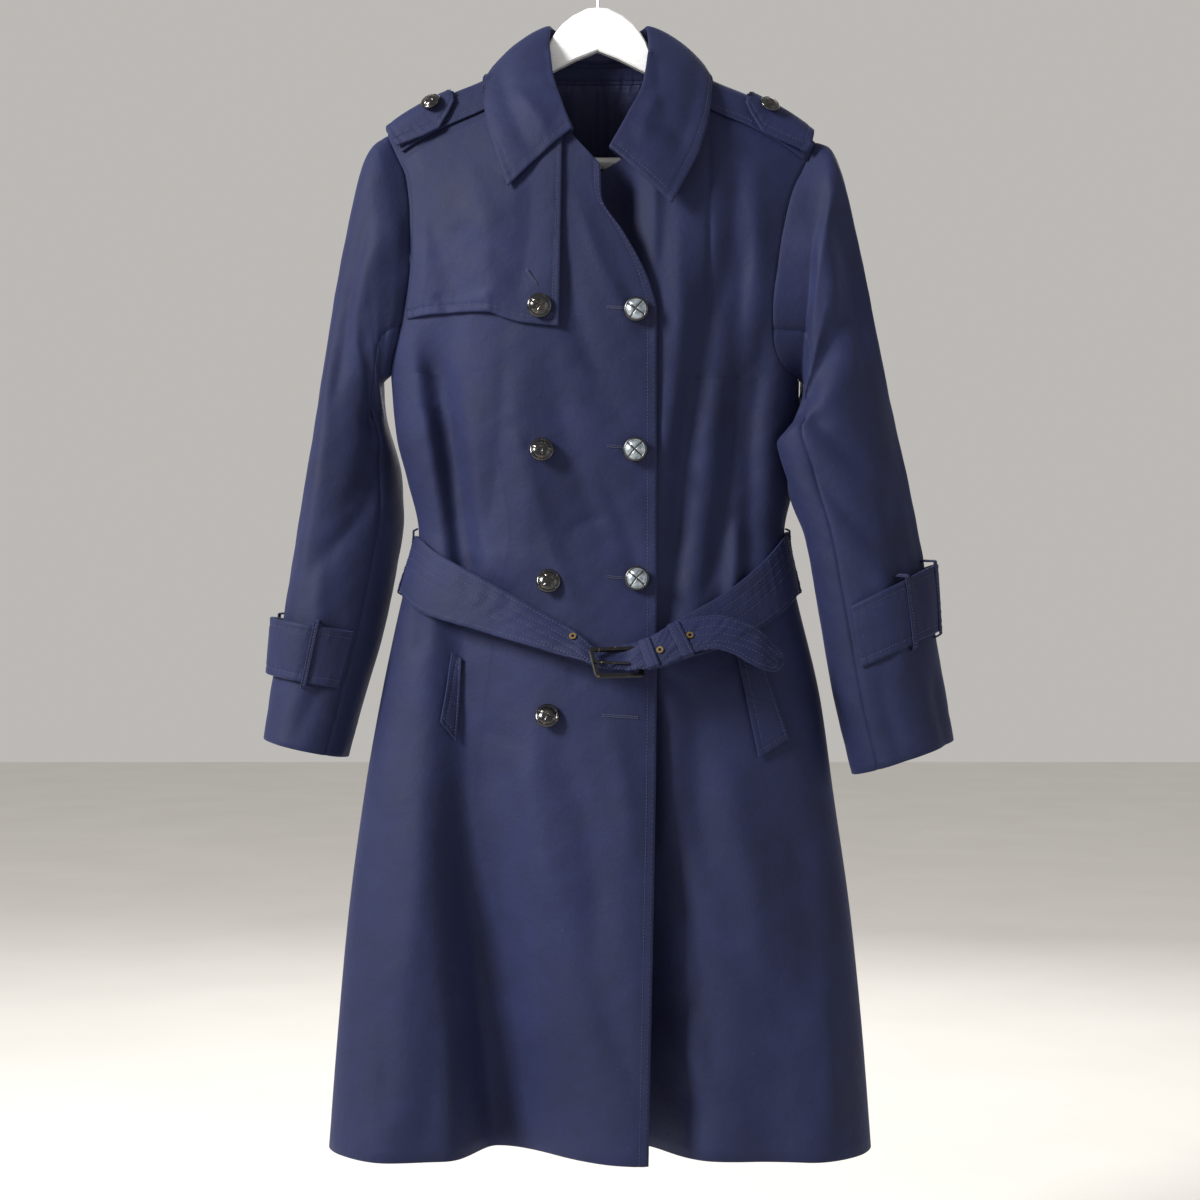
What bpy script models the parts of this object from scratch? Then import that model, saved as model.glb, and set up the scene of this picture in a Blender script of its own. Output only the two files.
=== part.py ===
"""A double-breasted trench coat hanging on a flat wooden hanger.

The tables below give the cut in millimetres: x to the coat's left, y to the back, and down
from the inside top of the hanger's hook. The meshes are in metres, with +Z up.
"""

import bpy
import numpy as np

MM = 0.001
CLOTH = 1.4  # wall of one layer of coat cloth
COLLAR_WALL = 1.8
STRAP_WALL = 2.4  # two layers of cloth, turned and stitched
SEAM = 0.3  # half of the gap between neighbouring pieces
SLEEVE_SEAM = 0.9  # the same between the two pieces of a sleeve, whose walls meet at an angle
YOKE_REST = 1.7  # gap between the shoulder and the yoke on it
LIFT = 5.0  # how far the overlap stands in front of the underlap
RIDGE = 9.0  # rounding of the shoulder over the hanger
FALL = 150.0  # drop over which the chest reaches its depth
SLEEVE_CLEAR = 3.6  # gap between the body and the sleeve below the underarm
UNDERARM = {"right": 424.0, "left": 430.0}
HEM = 1149.0
SLEEVE_SIDES = 20  # points round a sleeve
ARMHOLE_STEPS = SLEEVE_SIDES // 2
SKIRT_ROWS = (456, 488, 518, 547, 574, 602, 640, 692, 756, 840, 935, 1040, HEM)
FRONT_STEPS = 16
BACK_STEPS = 16


def table(names, *rows):
    """Named columns, each an array down the rows."""
    return dict(zip(names.split(), np.array(rows, float).T))


# Half widths to each side and depths to front and back. round is 1 for an ellipse, less for a box.
BODY = table(
    "down right left front back round",
    (110, 206, 208, 52, 50, 1.0),
    (250, 203, 205, 56, 54, 1.0),
    (340, 200, 199, 60, 56, 1.0),
    (430, 196, 191, 62, 58, 1.0),
    (482, 191, 190, 62, 58, 1.0),
    (522, 181, 187, 60, 56, 1.0),
    (574, 170, 177, 57, 55, 1.0),
    (627, 184, 187, 63, 60, 0.95),
    (731, 206, 211, 72, 70, 0.85),
    (819, 221, 223, 79, 76, 0.75),
    (935, 236, 239, 86, 81, 0.65),
    (1050, 246, 250, 91, 85, 0.58),
    (1160, 254, 258, 94, 88, 0.52),
)
SHOULDER = table(
    "x down", (0, 100), (46, 109), (62, 119), (80, 131), (108, 146.5), (143, 161), (170, 175), (190, 188),
    (203, 199), (212, 208),
)
ARMHOLE_RIGHT = table(
    "down x", (196, -199.5), (221, -188), (237, -181), (275, -176.5), (320, -176), (360, -181),
    (392, -188.5), (412, -194), (424, -196.3),
)
ARMHOLE_LEFT = table(
    "down x", (202, 206), (226, 195), (253, 182), (289, 173), (328, 167), (366, 163), (395, 164),
    (415, 172), (430, 191),
)
ARMHOLE_BACK = table(
    "part reach", (0.0, 0.0), (0.15, -8), (0.35, -17), (0.6, -18), (0.85, -9), (1.0, 0.0)
)

# Each fold follows a line from top to foot. depth is how far it sinks, or stands out where negative.
FOLD_COLUMNS = "top mid foot x_top x_mid x_foot depth_top depth_mid depth_foot right left edge"
FRONT_RIGHT_FOLDS = table(
    FOLD_COLUMNS,
    (372, 470, 600, -161, -143, -124, 12, 18, 15, 13, 13, 2.6),
    (590, 800, 1160, -124, -119, -92, 15, 26, 74, 26, 66, 2.2),
    (760, 1000, 1160, -186, -194, -204, -3, -9, -19, 34, 42, 2.0),
    (640, 900, 1160, 38, 38, 36, -1, -4, -8, 40, 40, 2.0),
)
FRONT_LEFT_FOLDS = table(
    FOLD_COLUMNS,
    (300, 420, 636, 116, 95, 66, 6, 9, 6, 14, 16, 2.0),
    (270, 482, 620, 140, 125, 114, 6, 12, 7, 14, 12, 2.0),
    (360, 500, 640, 158, 141, 140, 6, 10, 4, 12, 12, 2.0),
    (690, 950, 1160, 30, 32, 34, 2, 38, 78, 130, 42, 2.0),
    (760, 1000, 1160, 186, 198, 208, -2, -7, -17, 36, 42, 2.0),
    (196, 262, 336, 14, 16, 24, 24, 30, 10, 40, 26, 2.0),
)
BACK_FOLDS = table(
    FOLD_COLUMNS,
    (270, 520, 700, -84, -70, -66, 2, 9, 6, 18, 20, 2.0),
    (270, 520, 700, 78, 66, 72, 2, 8, 6, 20, 18, 2.0),
    (600, 880, 1160, -128, -138, -150, 4, 14, 32, 36, 40, 2.0),
    (600, 900, 1160, -8, -14, -20, 3, 12, 30, 42, 46, 2.0),
    (600, 880, 1160, 118, 124, 132, 4, 14, 34, 40, 36, 2.0),
)

# The sleeve's rings. The outer and inner ends of each, its depths, and how far its middle bows in.
RING_COLUMNS = "out_x out_down out_y in_x in_down in_y front rear bow"
SLEEVE_RIGHT = table(
    RING_COLUMNS,
    (-199.5, 196, 0, -196.3, 424, 0, 31, 31, 22),
    (-212, 204, 0, -203, 429, 4, 38, 38, 16),
    (-223, 223, 1, -207, 436, 10, 44, 44, 9),
    (-233, 262, 2, -206, 448, 18, 46, 48, 4),
    (-246, 326, 3, -202, 470, 28, 42, 50, 0),
    (-260, 412, 3, -190, 514, 36, 38, 50, 0),
    (-274, 500, 2, -187, 560, 32, 42, 52, 0),
    (-286, 578, 0, -193, 606, 24, 46, 52, 0),
    (-299, 655, 0, -205, 668, 14, 48, 50, 0),
    (-309, 715, 0, -222, 728, 8, 49, 50, 0),
    (-317, 767, 0, -237, 785, 4, 50, 50, 0),
)
SLEEVE_LEFT = table(
    RING_COLUMNS,
    (206, 202, 0, 191, 430, 0, 33, 31, -22),
    (218.3, 206, 0, 192.1, 431.8, -0.3, 35, 36, -4.8),
    (230.2, 228, 0, 194.4, 445.2, -0.1, 48.2, 38.9, -6.7),
    (239.3, 264, 0, 188.9, 459.8, -9.9, 42.8, 39.4, -2),
    (253.4, 326, 0, 178, 479.5, -15, 33.9, 38, -1),
    (268, 406, 1, 166, 491, -26, 46, 36, 0),
    (284, 482, 0, 178, 531, -32, 44, 36, 0),
    (299, 560, -4, 194, 579, -32, 44, 40, 0),
    (313, 635, -8, 207, 648, -28, 46, 44, 0),
    (324, 700, -10, 221, 726, -24, 48, 47, 0),
    (336, 768, -10, 239, 800, -18, 48, 48, 0),
)
UNDER_SLEEVE = (7, 13)  # ring points between which the under sleeve lies

# Collar lines from the right front end, round the back, to the left front end.
COLLAR = table(
    "part seam_x seam_y seam_down roll_x roll_y roll_down edge_x edge_y edge_down crown",
    (0.00, -29, -51, 203, -24, -58, 200, -83, -64, 254, 3),
    (0.10, -44, -42, 176, -34, -50, 173, -95, -54, 221, 6),
    (0.19, -54, -28, 148, -43, -32, 142, -104, -38, 190, 9),
    (0.27, -60, -12, 126, -46, -12, 106, -108, -16, 158, 9),
    (0.33, -60, 4, 118, -45, 7, 90, -107, 6, 141, 8),
    (0.41, -42, 22, 122, -34, 26, 93, -78, 42, 158, 8),
    (0.50, 0, 30, 125, 0, 34, 97, 0, 52, 170, 8),
    (0.59, 42, 22, 122, 34, 26, 93, 78, 42, 156, 8),
    (0.67, 60, 4, 118, 46, 7, 90, 106, 6, 137, 8),
    (0.73, 60, -12, 127, 48, -12, 112, 108, -16, 150, 9),
    (0.81, 50, -28, 154, 43, -33, 152, 105, -36, 180, 9),
    (0.90, 34, -42, 186, 28, -48, 186, 96, -50, 214, 6),
    (1.00, 8, -48, 221, 11, -56, 218, 68, -62, 270, 3),
)

# The belt's edges, by how far round it is: 0 to 1 front left, 1 to 3 the back, 3 to 4 front right.
BELT = table(
    "around top foot top_off foot_off",
    (0.035, 681, 700, 11.5, 19.0),
    (0.125, 675, 699, 13.0, 21.0),
    (0.165, 669, 698, 13.5, 23.0),
    (0.24, 656, 690, 12.5, 24.0),
    (0.40, 634, 677, 6.5, 12.0),
    (0.62, 604, 654, 3.0, 4.0),
    (0.85, 580, 634, 1.8, 1.8),
    (1.00, 573, 627, 1.8, 1.8),
    (1.40, 578, 624, 1.8, 1.8),
    (2.00, 582, 627, 1.8, 1.8),
    (2.60, 578, 625, 1.8, 1.8),
    (3.00, 577, 626, 1.8, 1.8),
    (3.15, 580, 634, 2.0, 2.0),
    (3.35, 594, 648, 3.4, 4.4),
    (3.58, 615, 661, 6.5, 10.0),
    (3.75, 637, 674, 9.0, 17.0),
    (3.90, 661, 687, 13.0, 26.0),
)
# The rest of the same strip: behind the buckle's near bar, over its far bar, and its free end.
BELT_END = table(
    "x top_y top foot_y foot",
    (-14, -87, 672, -101, 691),
    (-5, -91, 680, -103, 696),
    (8, -93, 685, -103, 699),
    (24, -92, 685, -102, 700),
    (40, -94, 677, -106, 699),
    (50, -93, 671, -107, 698),
    (58, -92, 666, -107, 696),
    (76, -88, 657, -104, 689),
    (90, -84, 654, -102, 683),
    (106, -80, 652, -101, 681),
    (124, -76, 655, -100, 686),
    (146, -70, 664, -96, 698),
    (160, -65, 676, -86, 702),
    (169, -62, 687, -74, 698),
)
FLAP_FOOT = table(
    "x down", (-179, 373), (-152, 370), (-124, 369), (-101, 370), (-87, 375), (-71, 380), (-36, 384)
)
FLAP_EDGE_X = -33.0
POCKETS = {
    "right": ((-137, 686), (-147, 750), (-133, 768), (-127, 692)),
    "left": ((128, 686), (148, 782), (176, 765), (153, 697)),
}
# name, x, down, lean to the side and lean up of each front button
BUTTONS = (
    ("button_flap", -53.5, 366, 0.10, 0.05),
    ("button_right_2", -51.5, 499, 0.10, 0.35),
    ("button_right_3", -45, 620, 0.05, 0.30),
    ("button_right_4", -45, 744, -0.05, 0.45),
    ("button_left_1", 35.5, 369, -0.06, 0.04),
    ("button_left_2", 34.8, 498, -0.12, 0.04),
    ("button_left_3", 36.2, 617, -0.06, 0.06),
)
EYELETS = (("eyelet_1", -23, 671), ("eyelet_2", 56.5, 683), ("eyelet_3", 83.5, 670))
FRONT_EDGE = table(
    "down x", (233.6, 2), (263, 3), (296, 23), (324, 39), (345, 48), (370, 54), (640, 54), (1149, 45.5)
)
UNDERLAP_EDGE = table("down x", (262, -40), (330, -56), (700, -62), (1149, -58))

NAVY = (0.030, 0.037, 0.110)
NAVY_DARK = (0.010, 0.013, 0.036)
COLOURS = {
    "coat_cloth": (NAVY, 0.85, 0.0),
    "lining": (NAVY_DARK, 0.6, 0.0),
    "button_resin": ((0.012, 0.012, 0.014), 0.22, 0.0),
    "buckle_metal": ((0.02, 0.02, 0.022), 0.3, 0.6),
    "brass": ((0.55, 0.38, 0.16), 0.35, 1.0),
    "white_wood": ((0.80, 0.80, 0.79), 0.35, 0.0),
    "hook_steel": ((0.55, 0.55, 0.56), 0.3, 1.0),
}


# Curves and surfaces -------------------------------------------------------------------------


def monotone(xs, ys, at):
    """A smooth curve through the points (xs, ys) that never overshoots them."""
    step = np.diff(xs)
    slope = np.diff(ys) / step
    tangent = np.zeros(len(xs))
    tangent[0], tangent[-1] = slope[0], slope[-1]
    same = slope[:-1] * slope[1:] > 0
    middle = np.zeros(len(slope) - 1)
    middle[same] = 2 * slope[:-1][same] * slope[1:][same] / (slope[:-1][same] + slope[1:][same])
    tangent[1:-1] = middle
    at = np.clip(at, xs[0], xs[-1])
    i = np.clip(np.searchsorted(xs, at, side="right") - 1, 0, len(step) - 1)
    s = (at - xs[i]) / step[i]
    rise = ys[i] * (2 * s**3 - 3 * s**2 + 1) + ys[i + 1] * (3 * s**2 - 2 * s**3)
    return rise + step[i] * (tangent[i] * (s**3 - 2 * s**2 + s) + tangent[i + 1] * (s**3 - s**2))


def read(tab, name, at):
    """One column of a table, smooth against its first column."""
    return monotone(next(iter(tab.values())), tab[name], np.asarray(at, float))


def ease(value):
    value = np.clip(value, 0.0, 1.0)
    return value * value * (3 - 2 * value)


def unit(vectors):
    return vectors / np.maximum(np.linalg.norm(vectors, axis=-1, keepdims=True), 1e-9)


def ridge(x):
    return read(SHOULDER, "down", np.abs(x))


def middle_and_half(down):
    right, left = read(BODY, "right", down), read(BODY, "left", down)
    return (left - right) / 2, (left + right) / 2


def angle_of(x, down):
    middle, half = middle_and_half(down)
    return np.arcsin(np.clip((x - middle) / half, -1, 1))


def x_of(angle, down):
    middle, half = middle_and_half(down)
    return middle + half * np.sin(angle)


def plain_depth(x, down, side):
    """Depth of the coat without folds, rounded over the hanger at the shoulder."""
    flat = np.cos(angle_of(x, down))
    depth = read(BODY, side, down) * np.maximum(flat, 0) ** read(BODY, "round", down)
    drop = np.maximum(down - ridge(x), 0)
    over = np.sqrt(1 - (1 - np.minimum(drop / RIDGE, 1)) ** 2)
    return np.minimum(RIDGE * over, 9 + depth) + np.maximum(depth - RIDGE, 0) * np.sin(
        np.minimum(drop / FALL, 1) * np.pi / 2
    ) - np.maximum(RIDGE * over - depth, 0) * ease((down - 330) / 90)


def folds(tab, x, down):
    """How far the folds sink at a point of a panel."""
    sunk = np.zeros(np.broadcast(x, down).shape)
    for row in zip(*tab.values()):
        top, mid, foot, x_top, x_mid, x_foot, d_top, d_mid, d_foot, right, left, edge = row
        stations = np.array((top, mid, foot))
        line = monotone(stations, np.array((x_top, x_mid, x_foot)), down)
        depth = monotone(stations, np.array((d_top, d_mid, d_foot)), down)
        depth = depth * ease((down - top) / 60) * ease((foot + 60 - down) / 60)
        width = np.where(x < line, right, left)
        sunk = sunk + depth * np.exp(-np.abs((x - line) / width) ** edge)
    keep = ease(np.cos(angle_of(x, down)) / 0.35) * ease((down - ridge(x) - 12) / 50)
    return sunk * keep


def overlap_y(x, down):
    lift = LIFT * ease((x + 150) / 90) * ease((down - ridge(x) - 10) / 60)
    return -plain_depth(x, down, "front") - lift + folds(FRONT_RIGHT_FOLDS, x, down)


def underlap_y(x, down):
    own = -plain_depth(x, down, "front") + folds(FRONT_LEFT_FOLDS, x, down)
    hidden = ease((60 - x) / 12) * ease((down - 236) / 20)
    return np.where(hidden > 0, np.maximum(own, overlap_y(x, down) + LIFT * hidden), own)


def back_y(x, down):
    return plain_depth(x, down, "back") - folds(BACK_FOLDS, x, down)


def at_surface(surface, x, down):
    return np.stack(np.broadcast_arrays(x, surface(x, down), -np.asarray(down, float)), axis=-1)


def grid_normals(points, toward, ring=False):
    """Normals of a grid, on the side of the direction toward."""
    if ring:
        across = np.roll(points, -1, 0) - np.roll(points, 1, 0)
    else:
        across = np.gradient(points, axis=0)
    along = np.gradient(points, axis=1)
    normals = unit(np.cross(across, along))
    if np.mean(np.sum(normals * toward, -1)) < 0:
        normals = -normals
    return normals


def inset(points, sides, gap=SEAM):
    """Moves the named edges of a grid towards its middle by the gap."""
    points = points.copy()
    edges = {
        "first": ((0, slice(None)), (1, slice(None))),
        "last": ((-1, slice(None)), (-2, slice(None))),
        "top": ((slice(None), 0), (slice(None), 1)),
        "foot": ((slice(None), -1), (slice(None), -2)),
    }
    for side in sides:
        edge, beside = edges[side]
        points[edge] = points[edge] + gap * unit(points[beside] - points[edge])
    return points


def on_panel(grid, x, down):
    """Depth of a built panel at x and down, along its own flat facets."""
    x, down = np.broadcast_arrays(np.asarray(x, float), np.asarray(down, float))
    order = slice(None) if grid[-1, -1, 0] > grid[0, -1, 0] else slice(None, None, -1)
    depth = []
    for here_x, here_down in zip(x.flat, down.flat):
        column = [[np.interp(here_x, row[:, 0], row[:, k]) for k in (1, 2)]
                  for row in np.swapaxes(grid[order], 0, 1)]
        y, z = np.array(column).T
        depth.append(np.interp(here_down, -z, y))
    return np.array(depth).reshape(x.shape)


# Objects ---------------------------------------------------------------------------------------


def clear_scene():
    for old in list(bpy.data.objects):
        bpy.data.objects.remove(old, do_unlink=True)


def material(name):
    found = bpy.data.materials.get(name)
    if found:
        return found
    colour, roughness, metallic = COLOURS[name]
    made = bpy.data.materials.new(name)
    made.use_nodes = True
    shader = made.node_tree.nodes["Principled BSDF"]
    shader.inputs["Base Color"].default_value = (*colour, 1)
    shader.inputs["Roughness"].default_value = roughness
    shader.inputs["Metallic"].default_value = metallic
    return made


def solid(name, points, faces, slot, smooth=True):
    """One closed body from points in millimetres, with its faces turned outwards."""
    points = np.asarray(points, float) * MM
    fans = np.array([(f[0], f[i], f[i + 1]) for f in faces for i in range(1, len(f) - 1)])
    if np.linalg.det(points[fans]).sum() < 0:
        faces = [tuple(reversed(face)) for face in faces]
    mesh = bpy.data.meshes.new(name)
    mesh.from_pydata(points.tolist(), [], [tuple(map(int, f)) for f in faces])
    mesh.materials.append(material(slot))
    if smooth:
        mesh.shade_smooth()
        mesh.set_sharp_from_angle(angle=np.radians(50))
    made = bpy.data.objects.new(name, mesh)
    bpy.context.scene.collection.objects.link(made)
    return made


def shell(name, outer, normals, wall, slot="coat_cloth", off=0.0):
    """A panel of cloth: a grid, its copy one wall further in, and the edges between them.

    Both faces are cut into triangles along the same diagonals, so they stay parallel.
    """
    face = outer + normals * (off + (wall if off else 0.0))
    inner = face - normals * wall
    rows, columns = outer.shape[:2]
    count = rows * columns
    index = np.arange(count).reshape(rows, columns)
    faces = []
    for i in range(rows - 1):
        for j in range(columns - 1):
            a, b, c, d = index[i, j], index[i + 1, j], index[i + 1, j + 1], index[i, j + 1]
            faces += [(a, b, c), (a, c, d)]
            faces += [(c + count, b + count, a + count), (d + count, c + count, a + count)]
    rim = [*index[:, 0], *index[-1, 1:], *index[-2::-1, -1], *index[0, -2:0:-1]]
    for a, b in zip(rim, rim[1:] + rim[:1]):
        faces += [(b, a, a + count), (b, a + count, b + count)]
    return solid(name, np.concatenate([face.reshape(-1, 3), inner.reshape(-1, 3)]), faces, slot)


def tube(name, path, radius, slot, sides=10):
    """A round bar along a curve, with filled ends."""
    curve = bpy.data.curves.new(name, "CURVE")
    curve.dimensions = "3D"
    curve.bevel_depth = radius * MM
    curve.bevel_resolution = max(sides // 4, 1)
    curve.use_fill_caps = True
    spline = curve.splines.new("POLY")
    spline.points.add(len(path) - 1)
    for point, place in zip(spline.points, path):
        point.co = (*(c * MM for c in place), 1)
    curve.materials.append(material(slot))
    made = bpy.data.objects.new(name, curve)
    bpy.context.scene.collection.objects.link(made)
    return made


def turned(name, centre, axis, profile, slot, sides=13):
    """A turned piece: radius and height pairs of its profile, spun about an axis."""
    axis = unit(np.asarray(axis, float))
    side = unit(np.cross(axis, (0.0, 0.0, 1.0) if abs(axis[2]) < 0.9 else (1.0, 0.0, 0.0)))
    up = np.cross(axis, side)
    turn = np.arange(sides) * 2 * np.pi / sides
    round_ = np.outer(np.cos(turn), side) + np.outer(np.sin(turn), up)
    points = [centre + round_ * radius + axis * height for radius, height in profile[1:-1]]
    points = [centre + axis * profile[0][1]] + list(np.concatenate(points)) + [centre + axis * profile[-1][1]]
    faces = []
    rings = len(profile) - 2
    for k in range(sides):
        after = (k + 1) % sides
        faces.append((0, 1 + after, 1 + k))
        for ring in range(rings - 1):
            low, high = 1 + ring * sides, 1 + (ring + 1) * sides
            faces.append((low + k, low + after, high + after, high + k))
        top = 1 + (rings - 1) * sides
        faces.append((top + k, top + after, 1 + rings * sides))
    return solid(name, points, faces, slot)


def washer(name, centre, normal, outer, inner, height, slot, sides=16):
    """A flat ring that stands on a surface."""
    normal = unit(np.asarray(normal, float))
    side = unit(np.cross(normal, (0.0, 0.0, 1.0)))
    up = np.cross(normal, side)
    turn = np.arange(sides) * 2 * np.pi / sides
    round_ = np.outer(np.cos(turn), side) + np.outer(np.sin(turn), up)
    rings = ((outer, 0), (outer, height), (inner, height), (inner, 0))
    points = np.concatenate([centre + round_ * radius + normal * rise for radius, rise in rings])
    faces = []
    for ring in range(4):
        low, high = ring * sides, (ring + 1) % 4 * sides
        for k in range(sides):
            after = (k + 1) % sides
            faces.append((low + k, low + after, high + after, high + k))
    return solid(name, points, faces, slot)


# The coat's body and sleeves --------------------------------------------------------------------


def armhole(side, face):
    """The armhole seam from the shoulder tip to the underarm, on the front or the back."""
    tab = ARMHOLE_RIGHT if side == "right" else ARMHOLE_LEFT
    part = (1 - np.cos(np.linspace(0, np.pi, ARMHOLE_STEPS + 1))) / 2
    down = tab["down"][0] + (tab["down"][-1] - tab["down"][0]) * part
    if face == "front":
        x = read(tab, "x", down)
        surface = overlap_y if side == "right" else underlap_y
    else:
        sign = -1 if side == "right" else 1
        x = tab["x"][0] + (tab["x"][-1] - tab["x"][0]) * part + sign * read(ARMHOLE_BACK, "reach", part)
        surface = back_y
    points = at_surface(surface, x, down)
    points[[0, -1], 1] = 0
    return points


def panel(surface, top_u, top_x, top_down, edge_x, side, face, steps):
    """A body panel's grid from its front edge, or the other side seam, to a side seam."""
    seam = armhole(side, face)
    foot = seam[-1, 2]
    u = np.linspace(0, 1, steps + 1)
    v = (1 - np.cos(np.linspace(0, np.pi, ARMHOLE_STEPS + 1))) / 2
    first, last = np.interp(u, top_u, top_x), np.interp(u, top_u, top_down)
    low = np.array(SKIRT_ROWS, float)
    edge_down = np.concatenate([last[0] + (-foot - last[0]) * v, low])
    side_down = np.concatenate([-seam[:, 2], low])
    side_x = np.concatenate([seam[:, 0], x_of(np.sign(seam[-1, 0]) * np.pi / 2, low)])
    edge = edge_x(edge_down)
    start_angle, end_angle = angle_of(edge, edge_down), angle_of(side_x, side_down)
    reach = np.concatenate([(1 - v) ** 2, np.zeros(len(low))])
    down = edge_down + np.outer(u, side_down - edge_down)
    down = down + np.outer(last - down[:, 0], np.concatenate([1 - v, np.zeros(len(low))]))
    straight = edge + np.outer(u, side_x - edge)
    straight = straight + np.outer(first - straight[:, 0], reach)
    curved = x_of(start_angle + np.outer(u, end_angle - start_angle), down)
    share = np.concatenate([v**2, np.ones(len(low))])
    x = straight * (1 - share) + curved * share
    points = at_surface(surface, x, down)
    points[-1, : len(seam)] = seam
    points[-1, len(seam) :, 1] = 0
    return points


def sleeve_rings(side):
    """The whole sleeve's grid, round and along, starting on the armhole seam."""
    tab = SLEEVE_RIGHT if side == "right" else SLEEVE_LEFT
    turn = np.arange(SLEEVE_SIDES) * 2 * np.pi / SLEEVE_SIDES
    rings = len(tab["bow"])
    ends = [np.stack([tab[f"{e}_x"], tab[f"{e}_y"], -tab[f"{e}_down"]], -1) for e in ("out", "in")]
    middle, reach = (ends[0] + ends[1]) / 2, (ends[0] - ends[1]) / 2
    grid = middle + np.cos(turn)[:, None, None] * reach
    wave = np.sin(turn)[:, None]
    grid[..., 1] -= np.where(wave > 0, wave * tab["front"], wave * tab["rear"])
    grid[..., 0] += wave**2 * tab["bow"]
    front, rear = armhole(side, "front"), armhole(side, "back")
    grid[: ARMHOLE_STEPS + 1, 0] = front
    grid[ARMHOLE_STEPS:, 0] = rear[:0:-1]
    for k in range(1, rings):
        grid[:, k] = clear_of_body(grid[:, k], SLEEVE_CLEAR, UNDERARM[side])
    return grid


def clear_of_body(points, margin, underarm):
    """Pushes points below the underarm outwards until they are clear of the body."""
    x, y, down = points[:, 0], points[:, 1], -points[:, 2]
    middle, half = middle_and_half(down)
    depth = read(BODY, "front", down)
    far = np.hypot((x - middle) / half, y / depth)
    need = 1 + margin / np.where(np.abs(y) > depth * 0.6, depth, half * 0.6)
    push = np.maximum(need / np.maximum(far, 0.05), 1)
    push = 1 + (push - 1) * ease((down - underarm + 12) / 24)
    moved = points.copy()
    moved[:, 0] = middle + (x - middle) * push
    moved[:, 1] = y * push
    return moved


def seam_normals(body, sleeve):
    """Directions in which both walls meet along a seam, from the two grids beside it."""
    into_body = unit(body["beside"] - body["seam"])
    into_sleeve = unit(sleeve["beside"] - sleeve["seam"])
    both = into_body + into_sleeve
    concave = np.sign(np.sum(body["normal"] * into_sleeve, -1, keepdims=True))
    return unit(body["normal"] + sleeve["normal"] + concave * both)


def build_body():
    """Fronts, back and sleeves, whose walls share one direction along each seam."""
    grids = {
        "front_right": panel(
            overlap_y,
            (0, 0.125, 0.25, 0.4375, 0.625, 0.8125, 1),
            (2, -25, -46, -62, -108, -155, -199.5),
            (233.6, 204, 172, 119, 146.5, 166.8, 196),
            lambda down: read(FRONT_EDGE, "x", down), "right", "front", FRONT_STEPS,
        ),
        "front_left": panel(
            underlap_y,
            (0, 0.25, 0.375, 0.5625, 0.75, 0.875, 1),
            (-40, 22, 40, 62, 108, 155, 206),
            (262, 226, 186, 119, 146.5, 166.8, 202),
            lambda down: read(UNDERLAP_EDGE, "x", down), "left", "front", FRONT_STEPS,
        ),
    }
    # The back is drawn as two halves from its centre line, then joined.
    halves = [
        panel(
            back_y,
            (0, 0.2, 0.3, 0.5, 0.8, 1),
            (0, sign * 44, sign * 62, sign * 108, sign * 155, tip),
            (124, 121, 119, 146.5, 166.8, tip_down),
            lambda down: 0 * down, side, "back", BACK_STEPS // 2,
        )
        for side, sign, tip, tip_down in (("right", -1, -199.5, 196), ("left", 1, 206, 202))
    ]
    halves[1][0] = halves[0][0] = (halves[0][0] + halves[1][0]) / 2
    grids["back"] = np.concatenate([halves[0][::-1], halves[1][1:]])
    normals = {
        name: grid_normals(grid, (0, 1, 0) if name == "back" else (0, -1, 0))
        for name, grid in grids.items()
    }
    for name, grid in grids.items():
        over = np.abs(grid[:, 0, 0]) >= 61.5
        slope = np.gradient(grid[:, 0, 2], grid[:, 0, 0])
        up = unit(np.stack([-slope, 0 * slope, 1 + 0 * slope], -1))
        normals[name][over, 0] = up[over]
    sleeves = {side: sleeve_rings(side) for side in ("right", "left")}
    last = ARMHOLE_STEPS
    for side, sign in (("right", -1), ("left", 1)):
        rings = sleeves[side]
        ring_normals = grid_normals(rings, unit(rings - rings.mean(axis=0)), ring=True)
        edges = {"front": (f"front_{side}", -1), "back": ("back", 0 if side == "right" else -1)}
        for face, order in (("front", np.arange(last + 1)), ("back", -np.arange(last + 1) % SLEEVE_SIDES)):
            name, edge = edges[face]
            grid, beside = grids[name], 1 if edge == 0 else -2
            body = {"seam": grid[edge, : last + 1], "beside": grid[beside, : last + 1],
                    "normal": normals[name][edge, : last + 1]}
            body["beside"] = body["beside"].copy()
            body["beside"][-1] = grid[edge, last + 1]
            sleeve = {"seam": rings[order, 0], "beside": rings[order, 1], "normal": ring_normals[order, 0]}
            if face == "front":
                shared = seam_normals(body, sleeve)
                shared[0] = unit(np.array((sign * 0.6, 0, 0.8)))
                shared[-1] = (0, 0, -1)
                front_shared = shared
            else:
                shared = seam_normals(body, sleeve)
                shared[[0, -1]] = front_shared[[0, -1]]
            normals[name][edge, : last + 1] = shared
            normals[name][edge, last + 1 :] = (sign, 0, 0)
            ring_normals[order, 0] = shared
        low, high = UNDER_SLEEVE
        under = np.arange(low, high + 1)
        upper = np.arange(high, low + SLEEVE_SIDES + 1) % SLEEVE_SIDES
        for part, order in (("upper", upper), ("under", under)):
            piece = inset(inset(rings[order], ("first", "last"), SLEEVE_SEAM), ("top",))
            shell(f"sleeve_{side}_{part}", piece, ring_normals[order], CLOTH)
    for name, grid in grids.items():
        sides = ("first", "last", "top") if name == "back" else ("last", "top")
        shell(name, inset(grid, sides), normals[name], CLOTH)
    return grids, sleeves


# What lies on the panels ------------------------------------------------------------------------


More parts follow.
